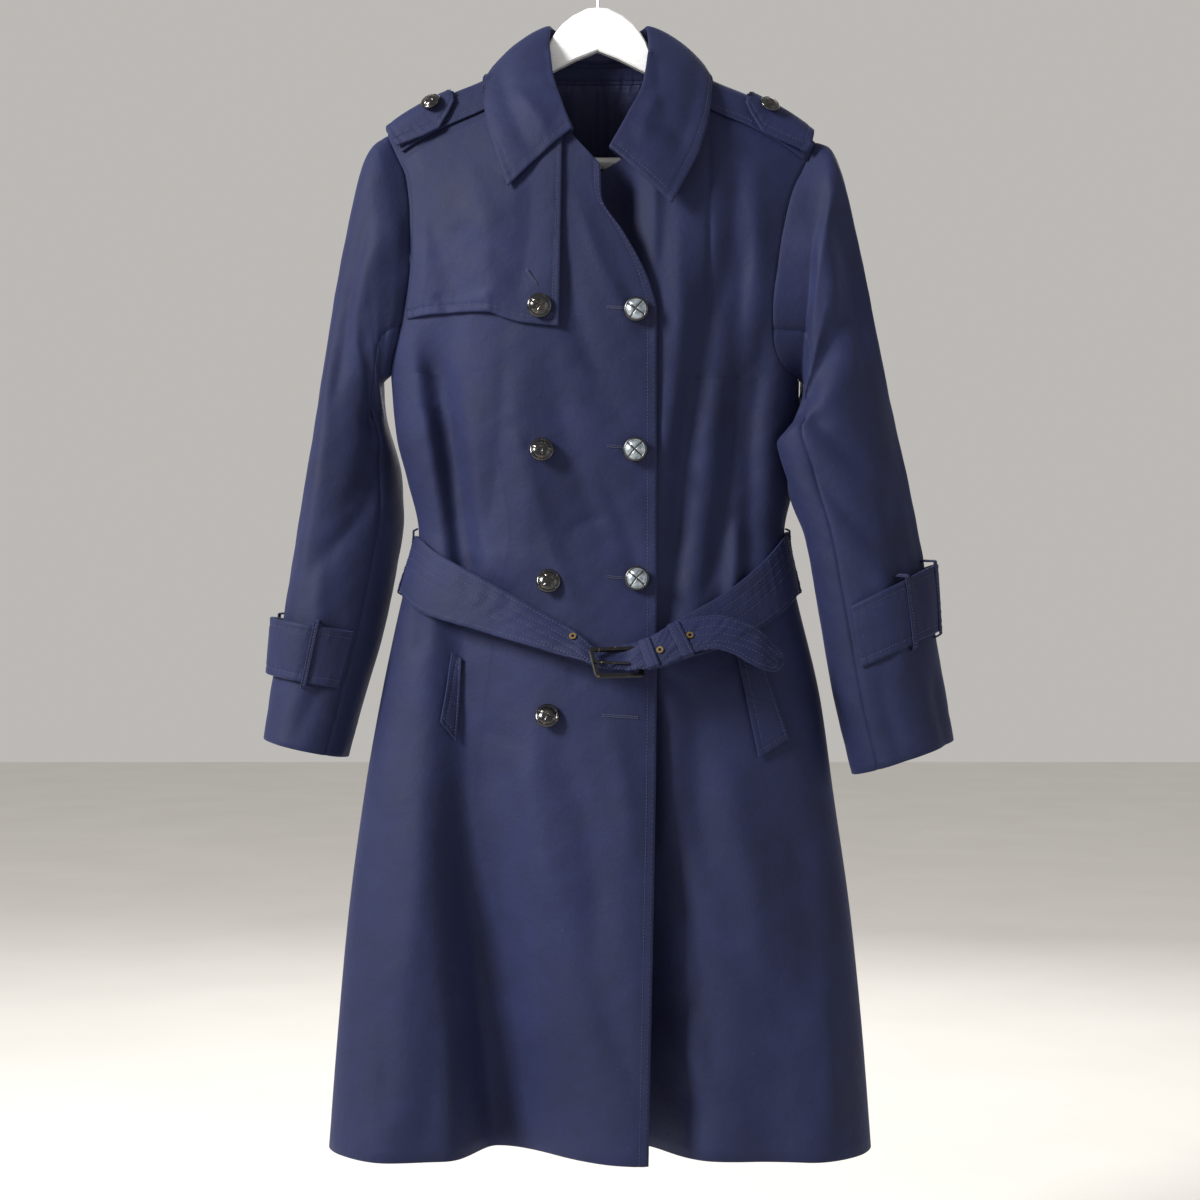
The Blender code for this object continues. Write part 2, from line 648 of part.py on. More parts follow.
def over_shoulder(x, along):
    """A point of the shoulder by its distance along the cloth from the ridge, front positive."""
    bend = np.minimum(np.abs(along) / RIDGE, np.pi / 2)
    drop = RIDGE * (1 - np.cos(bend)) + np.maximum(np.abs(along) - RIDGE * np.pi / 2, 0) * 0.93
    down = ridge(x) + drop
    depth = np.where(
        along > 0, -plain_depth(x, down, "front"), plain_depth(x, down, "back")
    )
    return np.stack([x, depth, -down], -1)


def shoulder_strip(name, xs, along, off, wall, slot="coat_cloth"):
    """A strap over the shoulder, by the distance of its points along the cloth from the ridge."""
    x = xs[:, None] + 0 * along
    side = "left" if xs[-1] > 0 else "right"
    seams = armhole(side, "front"), armhole(side, "back")
    down = -over_shoulder(x, along)[..., 2]
    reach = [np.interp(down, -seam[:, 2], np.abs(seam[:, 0])) for seam in seams]
    limit = np.where(along > 0, *reach) - 3.0
    x = np.sign(x) * np.minimum(np.abs(x), limit)
    points = over_shoulder(x, along)
    return shell(name, points, grid_normals(points, (0, 0, 1)), wall, slot, off)


def build_shoulders():
    for side, sign in (("right", -1), ("left", 1)):
        xs = sign * np.array((66, 88, 116, 144, 170, 196.0))
        along = np.array((-37, -24, -15, -10, -5, 0, 5, 10, 15, 24, 37.0)) + 0 * xs[:, None]
        shoulder_strip(f"shoulder_yoke_{side}", xs, along, YOKE_REST, CLOTH)
        start = 135 if side == "right" else 139
        xs = sign * (start + np.array((0, 5, 15, 32, 47, 61)))
        half = np.array((3, 12, 24, 24, 23.5, 22))
        centre = np.array((13, 13.5, 14, 13, 10, 7))
        along = centre[:, None] + np.outer(half, np.linspace(-1, 1, 11))
        shoulder_strip(f"epaulette_{side}", xs, along, YOKE_REST + CLOTH + 2.3, STRAP_WALL)


def build_flap(grids):
    seam = armhole("right", "front")
    across = np.linspace(0, 1, 11)
    foot_x = FLAP_EDGE_X - 3 + (-178.5 - FLAP_EDGE_X + 3) * across
    foot_down = read(FLAP_FOOT, "down", foot_x)
    top_x = FLAP_EDGE_X + (-184.5 - FLAP_EDGE_X) * across
    top_down = np.where(top_x > -62, np.interp(-top_x, (33, 62), (206, 150)), ridge(top_x) + 40)
    part = np.linspace(0, 1, 11)
    x = top_x[:, None] + np.outer(foot_x - top_x, part)
    down = top_down[:, None] + np.outer(foot_down - top_down, part)
    x = np.maximum(x, np.interp(down, -seam[:, 2], seam[:, 0]) + 3.0)
    points = np.stack([x, on_panel(grids["front_right"], x, down), -down], -1)
    shell("storm_flap", points, grid_normals(points, (0, -1, 0)), CLOTH, "coat_cloth", 2.0)


def neck_seam(grids, part):
    """The neck seam from the right front end round the back to the left front end, and which way is up."""
    right, back, left = grids["front_right"], grids["back"], grids["front_left"]
    pieces = (
        right[(right[:, 0, 0] > -62.5) & (right[:, 0, 0] < -24)],
        back[np.abs(back[:, 0, 0]) < 61],
        left[(left[:, 0, 0] < 62.5) & (left[:, 0, 0] > 21)][::-1],
    )
    knots, points, away = [], [], []
    for piece, (start, end) in zip(pieces, ((0, 0.31), (0.34, 0.66), (0.69, 1))):
        seam = piece[:, 0]
        length = np.concatenate([[0], np.cumsum(np.linalg.norm(np.diff(seam, axis=0), axis=1))])
        knots.append(start + (end - start) * length / length[-1])
        points.append(seam)
        away.append(unit(seam - piece[:, 1]))
    knots, points, away = (np.concatenate(each) for each in (knots, points, away))
    return [np.stack([np.interp(part, knots, each[:, k]) for k in range(3)], -1) for each in (points, away)]


def build_collar(grids):
    """The stand round the neck and the pointed fall over it."""
    stations = ((0, 0.24, 7), (0.27, 0.41, 7), (0.46, 0.54, 3), (0.59, 0.73, 7), (0.76, 1, 7))
    part = np.concatenate([np.linspace(*each) for each in stations])
    roll, edge = (
        np.stack([read(COLLAR, f"{line}_x", part), read(COLLAR, f"{line}_y", part),
                  -read(COLLAR, f"{line}_down", part)], -1)
        for line in ("roll", "edge")
    )
    crown = read(COLLAR, "crown", part)
    across = np.array((0.0, 0.14, 0.5, 1.0))
    points = roll[:, None] + (edge - roll)[:, None] * across[:, None]
    outward = unit(points - np.array((0, 0, -230.0)))
    hump = (4 * across * (1 - across)) ** 0.7
    points = clear_of_shoulder(points + outward * (crown[:, None] * hump)[..., None], 8.6)
    shell("collar", points, grid_normals(points, outward), COLLAR_WALL)
    seam, away = neck_seam(grids, part)
    foot = seam + unit(away + (0, 0, 0.4)) * 2.2
    height = np.linalg.norm(roll - foot, axis=1, keepdims=True)
    top = foot + (roll - foot) / height * np.maximum(height - 3.4, 2.5)
    stand = np.stack([foot, (foot + top) / 2, top], 1)
    outward = unit(stand * (1, 1, 0) + (0, -0.01, 0))
    shell("collar_stand", stand, grid_normals(stand, outward), CLOTH)


def clear_of_shoulder(points, gap):
    """Keeps the collar's fall in front of, behind and above the cloth under it."""
    points = points.copy()
    x, y, down = points[..., 0], points[..., 1], -points[..., 2]
    heart = ridge(x) + RIDGE
    far = np.hypot(y, down - heart)
    push = np.maximum((RIDGE + gap) / np.maximum(far, 1), 1)
    push = np.where((down < heart) & (np.abs(x) > 60), push, 1)
    points[..., 1] = y * push
    points[..., 2] = -(heart + (down - heart) * push)
    y, down = points[..., 1], -points[..., 2]
    beyond = down - ridge(x)
    front = -plain_depth(x, down, "front") - gap - LIFT * ease((beyond - 10) / 60)
    rear = plain_depth(x, down, "back") + gap
    below = beyond > RIDGE
    points[..., 1] = np.where(below & (y < 0), np.minimum(y, front), points[..., 1])
    points[..., 1] = np.where(below & (y >= 0), np.maximum(y, rear), points[..., 1])
    return points


def place_around(around, down, off):
    """A point round the waist at a distance off the plain cloth, and its direction out."""
    around, down, off = np.broadcast_arrays(around, down, off)
    turn = around * np.pi / 2
    middle, half = middle_and_half(down)
    back = (around > 1) & (around < 3)
    depth = np.where(back, read(BODY, "back", down), read(BODY, "front", down))
    flat = -np.cos(turn)
    y = np.sign(flat) * np.abs(flat) ** read(BODY, "round", down) * depth
    normal = unit(np.stack([np.sin(turn) / half, flat / depth, 0 * flat], -1))
    return np.stack([middle + half * np.sin(turn), y, -down], -1) + normal * off[..., None], normal


def build_belt():
    """One strip: from the buckle's bar round the back, through the buckle and the keepers."""
    around = np.concatenate(
        [(0.035, 0.08, 0.125, 0.165, 0.2, 0.24, 0.32), np.linspace(0.4, 1, 7), np.linspace(1.14, 2.86, 13),
         np.linspace(3, 3.9, 10)]
    )
    edges = []
    for name in ("top", "foot"):
        points, _ = place_around(around, read(BELT, name, around), read(BELT, f"{name}_off", around))
        edges.append(points)
    x = np.concatenate([np.linspace(-14, 148, 17), (160, 169)])
    for k, name in enumerate(("top", "foot")):
        end = np.stack([x, read(BELT_END, f"{name}_y", x), -read(BELT_END, name, x)], -1)
        edges[k] = np.concatenate([edges[k], end])
    points = np.stack([edges[0], (edges[0] + edges[1]) / 2, edges[1]], 1)
    toward = points * (1, 1, 0)
    toward[len(around):] = (0, -1, 0)
    shell("belt", points, grid_normals(points, toward), STRAP_WALL, "coat_cloth", 0.001)
    return points


def loop_of_rings(name, loops, slot):
    """A ring whose section is the rings of points in loops, in turn."""
    count, rings = len(loops[0]), len(loops)
    faces = []
    for ring in range(rings):
        low, high = ring * count, (ring + 1) % rings * count
        for k in range(count):
            after = (k + 1) % count
            faces.append((low + k, low + after, high + after, high + k))
    return solid(name, np.concatenate(loops), faces, slot)


# The buckle leans with the belt, whose foot stands forward of its top.
UP = unit(np.array((-0.225, 0.48, 0.85)))
FRAME_ALONG = unit(np.array((0.92, 0.38, -0.03)))
FRAME_ALONG = unit(FRAME_ALONG - UP * (FRAME_ALONG @ UP))


def belt_across(strip, x):
    """The three points across the strip at x."""
    order = np.argsort(strip[:, 1, 0])
    return np.array([[np.interp(x, strip[order, 1, 0], strip[order, row, k]) for k in range(3)]
                     for row in range(3)])


def band(name, x, belt, length, wall):
    """A loop of strap round both layers of the belt: a flat tube with open ends."""
    layers = [[belt_across(strip, x + shift) for shift in (-7, 0, 7)] for strip in (belt[:8], belt[37:])]
    under, over = np.array(layers)
    up = unit(over[1, 0] - over[1, 2])
    along = over[2, 1] - over[0, 1]
    along = unit(along - up * (along @ up))
    out = np.cross(along, up)
    out = out if out[1] < 0 else -out
    every = np.concatenate([under - out * 0.5, over + out * (STRAP_WALL + 0.9)]).reshape(-1, 3)
    high, deep = every @ up, every @ out
    centre = over[1, 1]
    centre = centre + up * ((high.max() + high.min()) / 2 - centre @ up)
    centre = centre + out * ((deep.max() + deep.min()) / 2 - centre @ out)
    height, depth = np.ptp(high) + 1.6, np.ptp(deep) + 0.8
    loops = []
    outer, inner = rounded_box(height + 2 * wall, depth + 2 * wall, 2.0), rounded_box(height, depth, 0.7)
    for shape, shift in ((outer, -0.5), (outer, 0.5), (inner, 0.5), (inner, -0.5)):
        loops.append(centre + along * length * shift + shape[:, :1] * up + shape[:, 1:] * out)
    return loop_of_rings(name, loops, "coat_cloth")


def rounded_box(wide, high, radius, steps=3):
    """The outline of a rectangle with round corners."""
    corners = []
    for quarter, (sx, sy) in enumerate(((1, 1), (-1, 1), (-1, -1), (1, -1))):
        for k in range(steps + 1):
            turn = (quarter + k / steps) * np.pi / 2
            corners.append((sx * (wide / 2 - radius) + radius * np.cos(turn),
                            sy * (high / 2 - radius) + radius * np.sin(turn)))
    return np.array(corners)


def build_buckle():
    """A rectangular frame with rounded bars, and its prong across the middle."""
    centre = np.array((17.0, -102.5, -693.0))
    out = np.cross(FRAME_ALONG, UP)
    out = out if out[1] < 0 else -out
    loops = []
    for wide, high, radius, rise in (
        (48, 31, 4, -1.5), (49.6, 32.6, 4.6, 0), (48, 31, 4, 1.5), (41, 24, 2.2, 1.5), (41, 24, 2.2, -1.5),
    ):
        shape = rounded_box(wide, high, radius)
        loops.append(centre + shape[:, :1] * FRAME_ALONG + shape[:, 1:] * UP + out * rise)
    loop_of_rings("buckle_frame", loops, "buckle_metal")
    ends = [centre + FRAME_ALONG * -23.5 + out * 3.2, np.array((12, -104.6, -693.2)),
            np.array((28.0, -103.0, -693.6))]
    tube("buckle_prong", ends, 1.2, "brass", 8)


def build_trim(grids, belt):
    """Keepers, eyelets, belt loops and pocket welts."""
    band("belt_keeper_fixed", 46.5, belt, 8.6, 1.3)
    band("belt_keeper_sliding", 75.0, belt, 8.6, 1.3)
    for name, x, down in EYELETS:
        strip = belt[27:] if x < -14 else belt[37:]
        here = np.array([np.interp(x, strip[:, 1, 0], strip[:, 1, k]) for k in range(3)])
        i = np.argmin(np.abs(strip[:, 1, 0] - x))
        i = min(max(i, 1), len(strip) - 2)
        along, up = strip[i + 1, 1] - strip[i - 1, 1], unit(strip[i, 0] - strip[i, 2])
        normal = unit(np.cross(along, up))
        normal = normal if normal[1] < 0 else -normal
        here = here + up * (down + here[2]) / up[2] * -1
        washer(name, here + normal * (STRAP_WALL + 0.5), normal, 3.3, 1.6, 0.9, "brass", 12)
    for side, around in (("left", 1.0), ("right", 3.0)):
        down = np.array((568, 570, 600, 632, 634.0))
        off = np.array((0.9, 6.2, 6.2, 6.2, 0.9))
        rows = around + np.array((-0.035, 0, 0.035))
        points, normals = place_around(rows[:, None], down, off)
        shell(f"belt_loop_{side}", points, grid_normals(points, normals), CLOTH, "coat_cloth", 0.001)
    for side, corners in POCKETS.items():
        a, b, c, d = (np.array(corner, float) for corner in corners)
        u, v = np.meshgrid(np.linspace(0, 1, 5), np.linspace(0, 1, 7), indexing="ij")
        plan = (a * (1 - u)[..., None] + d * u[..., None]) * (1 - v)[..., None]
        plan = plan + (b * (1 - u)[..., None] + c * u[..., None]) * v[..., None]
        y = on_panel(grids[f"front_{side}"], plan[..., 0], plan[..., 1])
        points = np.stack([plan[..., 0], y, -plan[..., 1]], -1)
        shell(f"pocket_welt_{side}", points, grid_normals(points, (0, -1, 0)), CLOTH, "coat_cloth", 3.0)


def point_and_normal(grid, x, down):
    near = [np.array((x + dx, on_panel(grid, x + dx, down + dd), -down - dd))
            for dx, dd in ((0, 0), (3.0, 0), (0, 3.0), (-3.0, 0), (0, -3.0))]
    normal = unit(np.cross(near[1] - near[3], near[2] - near[4]))
    return near[0], normal if normal[1] < 0 else -normal


BUTTON_PROFILE = ((0, 0), (6.5, 0), (10.6, 2.0), (11.4, 3.8), (10.3, 5.6), (6.2, 7.4), (0, 8.2))


def build_buttons(grids):
    for name, x, down, lean, lift in BUTTONS:
        here, normal = point_and_normal(grids["front_right"], x, down)
        rise = 2.0 + CLOTH + 0.8 if name == "button_flap" else 0.8
        axis = unit(np.array((lean, -1.0, lift)))
        tip = 6.5 * np.sqrt(max(1 - (axis @ normal) ** 2, 0))
        turned(name, here + normal * (rise + tip), axis, BUTTON_PROFILE, "button_resin")
    for side, x in (("right", -153.5), ("left", 158.0)):
        sign = np.sign(x)
        here = over_shoulder(np.array(x), np.array(13.5))
        axis = unit(np.array((sign * 0.35, -0.75, 0.65)))
        profile = np.array(BUTTON_PROFILE) * 0.84
        turned(f"button_epaulette_{side}", here + axis * 9.2, axis, profile, "button_resin")


def cuff_point(grid, ring, turn):
    """A point of the sleeve by ring and by how far round it is, both with fractions."""
    sides, rings = grid.shape[:2]
    i, j = int(np.floor(turn)), min(int(ring), rings - 2)
    s, t = turn - i, ring - j
    rows = [grid[k % sides, j] * (1 - t) + grid[k % sides, j + 1] * t for k in (i, i + 1)]
    return rows[0] * (1 - s) + rows[1] * s


def cuff_patch(grid, turns, rings):
    """Points and outward normals of part of the sleeve."""
    points = np.array([[cuff_point(grid, r, t) for r in row] for t, row in zip(turns, rings)])
    heart = np.array([grid[:, j].mean(axis=0) for j in range(grid.shape[1])])
    stations = np.arange(len(heart))
    inside = np.stack([np.interp(rings, stations, heart[:, k]) for k in range(3)], -1)
    return points, grid_normals(points, unit(points - inside))


# For each cuff: the rings of the strap's edges at the seam and at the outer side, how far its
# edges stand out there, and the strap's loops as turns.
CUFFS = {
    "right": ((8.05, 8.9), (8.0, 8.85), (9.0, 4.0), (("side", -1.6), ("front", 4.3))),
    "left": ((8.1, 8.8), (7.6, 8.45), (10.0, 3.0), (("side", 1.2), ("front", 3.6))),
}


def build_cuffs(sleeves):
    """A strap round each cuff from the front seam outwards to the back, its loops and its button."""
    for side, (at_seam, at_side, stand, loops) in CUFFS.items():
        grid = sleeves[side]
        turns = np.linspace(UNDER_SLEEVE[0] - 0.4, UNDER_SLEEVE[1] - SLEEVE_SIDES + 0.6, 15)

        def edge(turn, part):
            swing = (1 + np.cos(turn * 2 * np.pi / SLEEVE_SIDES)) / 2
            top = at_seam[0] + (at_side[0] - at_seam[0]) * swing
            foot = at_seam[1] + (at_side[1] - at_seam[1]) * swing
            off = swing * (stand[0] + (stand[1] - stand[0]) * part)
            return top + (foot - top) * part, off

        part = np.linspace(0, 1, 4)
        rings = np.array([[edge(t, p)[0] for p in part] for t in turns])
        off = 1.4 + np.array([[edge(t, p)[1] for p in part] for t in turns])
        points, normals = cuff_patch(grid, turns, rings)
        points = points + normals * off[..., None]
        shell(f"cuff_strap_{side}", points, normals, STRAP_WALL, "coat_cloth", 0.001)
        tail = 12
        here, out = (points[tail, 1] + points[tail, 2]) / 2, normals[tail, 1]
        profile = np.array(BUTTON_PROFILE) * 0.84
        turned(f"button_cuff_{side}", here + out * (STRAP_WALL + 1.2), out, profile, "button_resin")
        for place, turn in loops:
            wide = turn + np.array((-0.14, 0.14))
            rises = (-0.10, -0.06, 0.5, 1.06, 1.10)
            rings = np.array([[edge(t, p)[0] for p in rises] for t in wide])
            high = np.array([[edge(t, min(max(p, 0), 1))[1] for p in rises] for t in wide]) + 5.4
            high[:, 0] = high[:, -1] = 0.8
            points, normals = cuff_patch(grid, wide, rings)
            shell(f"cuff_loop_{side}_{place}", points + normals * high[..., None], normals, CLOTH,
                  "coat_cloth", 0.001)


# The hanger -------------------------------------------------------------------------------------


def build_hanger():
    """A flat board with a round crown, arms that follow the shoulders, a bar and a wire hook."""
    crown = [(10, 76), (24, 83), (34, 91), (40, 98.5), (46, 108), (50, 118), (55, 130)]
    arm = [(x, float(ridge(x)) + 10.5) for x in (66, 84, 108, 132, 154, 174)]
    end = [(186, 201), (190, 208), (191, 218), (188, 227), (181, 232), (172, 231), (166, 224)]
    under = [(158, 205), (132, 188), (108, 177), (72, 154), (46, 137), (20, 124)]
    half = crown + arm + end + under
    outline = [(0, 75)] + half + [(0, 116)] + [(-x, d) for x, d in reversed(half)]
    count = len(outline)
    inner = np.array(outline, float)
    before, after = np.roll(inner, 1, 0), np.roll(inner, -1, 0)
    side = unit(after - before) @ np.array(((0, 1), (-1, 0)))
    shrunk = inner + side * 1.5
    if abs(np.sum(shrunk[:, 0] * np.roll(shrunk[:, 1], -1) - np.roll(shrunk[:, 0], -1) * shrunk[:, 1])) > abs(
        np.sum(inner[:, 0] * np.roll(inner[:, 1], -1) - np.roll(inner[:, 0], -1) * inner[:, 1])
    ):
        shrunk = inner - side * 1.5
    loops = [(shrunk, -6.0), (inner, -4.5), (inner, 4.5), (shrunk, 6.0)]
    points = np.concatenate([np.stack([s[:, 0], y + 0 * s[:, 0], -s[:, 1]], -1) for s, y in loops])
    faces = [tuple(range(count)), tuple(reversed(range(3 * count, 4 * count)))]
    for ring in range(3):
        for k in range(count):
            after = (k + 1) % count
            faces.append((ring * count + k, (ring + 1) * count + k, (ring + 1) * count + after, ring * count + after))
    solid("hanger_body", points, faces, "white_wood", smooth=False)
    tube("hanger_bar", [(x, 0, -222) for x in (-161, -55, 55, 161)], 5.5, "white_wood", 12)
    radius, wire = 21.6, 1.6
    path = [(0, 0, -74.4), (0, 0, -64), (0.4, 0, -56), (2.6, 0, -49), (6.6, 0, -43.5)]
    for degrees in range(-50, 206, 15):
        turn = np.radians(degrees)
        path.append((radius * np.cos(turn), 0, -20 + radius * np.sin(turn)))
    tube("hanger_hook", path, wire, "hook_steel", 10)


def build_neck(grids):
    """The facing and the lining that show inside the back of the neck."""
    x = np.linspace(-57, 57, 11)
    for name, top, foot, slot, rows in (
        ("neck_facing", 127, 141, "coat_cloth", 3), ("back_lining", 142, 330, "lining", 7)
    ):
        reach = np.linspace(1, 1 if name == "neck_facing" else 1.5, rows)
        across = x[:, None] * reach
        drop = top + (foot - top) * np.linspace(0, 1, rows) + 0 * across
        drop = np.maximum(drop, ridge(across) + 14 + 10 * (name == "back_lining"))
        y = on_panel(grids["back"], across, drop)
        points = np.stack([across, y, -drop], -1)
        normals = grid_normals(points, (0, -1, 0))
        shell(name, points + normals * 2.6, normals, 1.0, slot, 0.001)


def main():
    clear_scene()
    grids, sleeves = build_body()
    build_shoulders()
    build_flap(grids)
    build_collar(grids)
    belt = build_belt()
    build_buckle()
    build_trim(grids, belt)
    build_buttons(grids)
    build_cuffs(sleeves)
    build_neck(grids)
    build_hanger()


main()
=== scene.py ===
"""The looks of a double-breasted trench coat hanging on a flat wooden hanger.

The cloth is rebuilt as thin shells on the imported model's own form, with creases, stitching and
turned edges. Tables are in millimetres: x to the coat's left, y to the back, and down from the
inside top of the hanger's hook. Meshes are in metres, with +Z up.
"""

import bpy
import numpy as np
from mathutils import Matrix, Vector


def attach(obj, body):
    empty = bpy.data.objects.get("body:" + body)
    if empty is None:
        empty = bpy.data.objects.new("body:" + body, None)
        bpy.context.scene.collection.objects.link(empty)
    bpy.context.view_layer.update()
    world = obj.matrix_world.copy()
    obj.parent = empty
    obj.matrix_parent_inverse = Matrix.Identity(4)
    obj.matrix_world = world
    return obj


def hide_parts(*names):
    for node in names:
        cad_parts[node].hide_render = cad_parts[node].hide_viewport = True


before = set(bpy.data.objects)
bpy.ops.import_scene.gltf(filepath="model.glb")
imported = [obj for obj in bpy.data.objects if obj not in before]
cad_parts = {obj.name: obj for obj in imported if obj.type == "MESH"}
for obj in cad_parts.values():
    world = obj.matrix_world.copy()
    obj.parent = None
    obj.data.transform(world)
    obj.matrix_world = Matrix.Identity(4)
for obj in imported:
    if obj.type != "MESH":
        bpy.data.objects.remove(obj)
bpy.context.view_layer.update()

MM = 0.001
CLOTH = 1.4  # wall of one layer of coat cloth
COLLAR_WALL = 1.8
COLLAR_CLEAR = 8.6  # from the plain cloth to the outer face of the collar's fall
STRAP_WALL = 2.4  # two layers of cloth, turned and stitched
YOKE_REST = 1.7  # gap between the shoulder and the yoke on it
LIFT = 5.0  # how far the overlap stands in front of the underlap
RIDGE = 9.0  # rounding of the shoulder over the hanger
FALL = 150.0  # drop over which the chest reaches its depth
SLEEVE_CLEAR = 3.6  # gap between the body and the sleeve below the underarm
UNDERARM = {"right": 424.0, "left": 430.0}
HEM = 1149.0
SLEEVE_SIDES = 80  # points round a sleeve
ARMHOLE_STEPS = SLEEVE_SIDES // 2
RING_STEPS = 11  # steps along a sleeve from ring to ring
TURN_SCALE = 1.15  # degrees round a sleeve to a millimetre of its cloth
SKIRT_STATIONS = (456, 488, 518, 547, 574, 602, 640, 692, 756, 840, 935, 1040, HEM)
SKIRT_ROWS = np.interp(np.arange(0, 12.01, 0.1), np.arange(13), SKIRT_STATIONS)
FRONT_STEPS = 112
BACK_STEPS = 128


def table(names, *rows):
    """Named columns, each an array down the rows."""
    return dict(zip(names.split(), np.array(rows, float).T))


# Half widths to each side and depths to front and back. round is 1 for an ellipse, less for a box.
BODY = table(
    "down right left front back round",
    (110, 206, 208, 52, 50, 1.0),
    (250, 203, 205, 56, 54, 1.0),
    (340, 200, 199, 60, 56, 1.0),
    (430, 196, 191, 62, 58, 1.0),
    (482, 191, 190, 62, 58, 1.0),
    (522, 181, 187, 60, 56, 1.0),
    (574, 170, 177, 57, 55, 1.0),
    (627, 184, 187, 63, 60, 0.95),
    (731, 206, 211, 72, 70, 0.85),
    (819, 221, 223, 79, 76, 0.75),
    (935, 236, 239, 86, 81, 0.65),
    (1050, 246, 250, 91, 85, 0.58),
    (1160, 254, 258, 94, 88, 0.52),
)
SHOULDER = table(
    "x down", (0, 100), (46, 109), (62, 119), (80, 131), (108, 146.5), (143, 161), (170, 175), (190, 188),
    (203, 199), (212, 208),
)
ARMHOLE_RIGHT = table(
    "down x", (196, -199.5), (221, -188), (237, -181), (275, -176.5), (320, -176), (360, -181),
    (392, -188.5), (412, -194), (424, -196.3),
)
ARMHOLE_LEFT = table(
    "down x", (202, 206), (226, 195), (253, 182), (289, 173), (328, 167), (366, 163), (395, 164),
    (415, 172), (430, 191),
)
ARMHOLE_BACK = table(
    "part reach", (0.0, 0.0), (0.15, -8), (0.35, -17), (0.6, -18), (0.85, -9), (1.0, 0.0)
)

# Each fold follows a line from top to foot. depth is how far it sinks, or stands out where negative.
FOLD_COLUMNS = "top mid foot x_top x_mid x_foot depth_top depth_mid depth_foot right left edge"
FRONT_RIGHT_FOLDS = table(
    FOLD_COLUMNS,
    (372, 470, 600, -161, -143, -124, 12, 18, 15, 13, 13, 2.6),
    (590, 800, 1160, -124, -119, -92, 15, 26, 74, 26, 66, 2.2),
    (760, 1000, 1160, -186, -194, -204, -3, -9, -19, 34, 42, 2.0),
    (640, 900, 1160, 38, 38, 36, -1, -4, -8, 40, 40, 2.0),
)
FRONT_LEFT_FOLDS = table(
    FOLD_COLUMNS,
    (300, 420, 636, 116, 95, 66, 6, 9, 6, 14, 16, 2.0),
    (270, 482, 620, 140, 125, 114, 6, 12, 7, 14, 12, 2.0),
    (360, 500, 640, 158, 141, 140, 6, 10, 4, 12, 12, 2.0),
    (690, 950, 1160, 30, 32, 34, 2, 38, 78, 130, 42, 2.0),
    (760, 1000, 1160, 186, 198, 208, -2, -7, -17, 36, 42, 2.0),
    (196, 262, 336, 14, 16, 24, 24, 30, 10, 40, 26, 2.0),
)
BACK_FOLDS = table(
    FOLD_COLUMNS,
    (270, 520, 700, -84, -70, -66, 2, 9, 6, 18, 20, 2.0),
    (270, 520, 700, 78, 66, 72, 2, 8, 6, 20, 18, 2.0),
    (600, 880, 1160, -128, -138, -150, 4, 14, 32, 36, 40, 2.0),
    (600, 900, 1160, -8, -14, -20, 3, 12, 30, 42, 46, 2.0),
    (600, 880, 1160, 118, 124, 132, 4, 14, 34, 40, 36, 2.0),
)

# The sleeve's rings. The outer and inner ends of each, its depths, and how far its middle bows in.
RING_COLUMNS = "out_x out_down out_y in_x in_down in_y front rear bow"
SLEEVE_RIGHT = table(
    RING_COLUMNS,
    (-199.5, 196, 0, -196.3, 424, 0, 31, 31, 22),
    (-212, 204, 0, -203, 429, 4, 38, 38, 16),
    (-223, 223, 1, -207, 436, 10, 44, 44, 9),
    (-233, 262, 2, -206, 448, 18, 46, 48, 4),
    (-246, 326, 3, -202, 470, 28, 42, 50, 0),
    (-260, 412, 3, -190, 514, 36, 38, 50, 0),
    (-274, 500, 2, -187, 560, 32, 42, 52, 0),
    (-286, 578, 0, -193, 606, 24, 46, 52, 0),
    (-299, 655, 0, -205, 668, 14, 48, 50, 0),
    (-309, 715, 0, -222, 728, 8, 49, 50, 0),
    (-317, 767, 0, -237, 785, 4, 50, 50, 0),
)
SLEEVE_LEFT = table(
    RING_COLUMNS,
    (206, 202, 0, 191, 430, 0, 33, 31, -22),
    (218.3, 206, 0, 192.1, 431.8, -0.3, 35, 36, -4.8),
    (230.2, 228, 0, 194.4, 445.2, -0.1, 48.2, 38.9, -6.7),
    (239.3, 264, 0, 188.9, 459.8, -9.9, 42.8, 39.4, -2),
    (253.4, 326, 0, 178, 479.5, -15, 33.9, 38, -1),
    (268, 406, 1, 166, 491, -26, 46, 36, 0),
    (284, 482, 0, 178, 531, -32, 44, 36, 0),
    (299, 560, -4, 194, 579, -32, 44, 40, 0),
    (313, 635, -8, 207, 648, -28, 46, 44, 0),
    (324, 700, -10, 221, 726, -24, 48, 47, 0),
    (336, 768, -10, 239, 800, -18, 48, 48, 0),
)
UNDER_SLEEVE = (28, 52)  # ring points between which the under sleeve lies

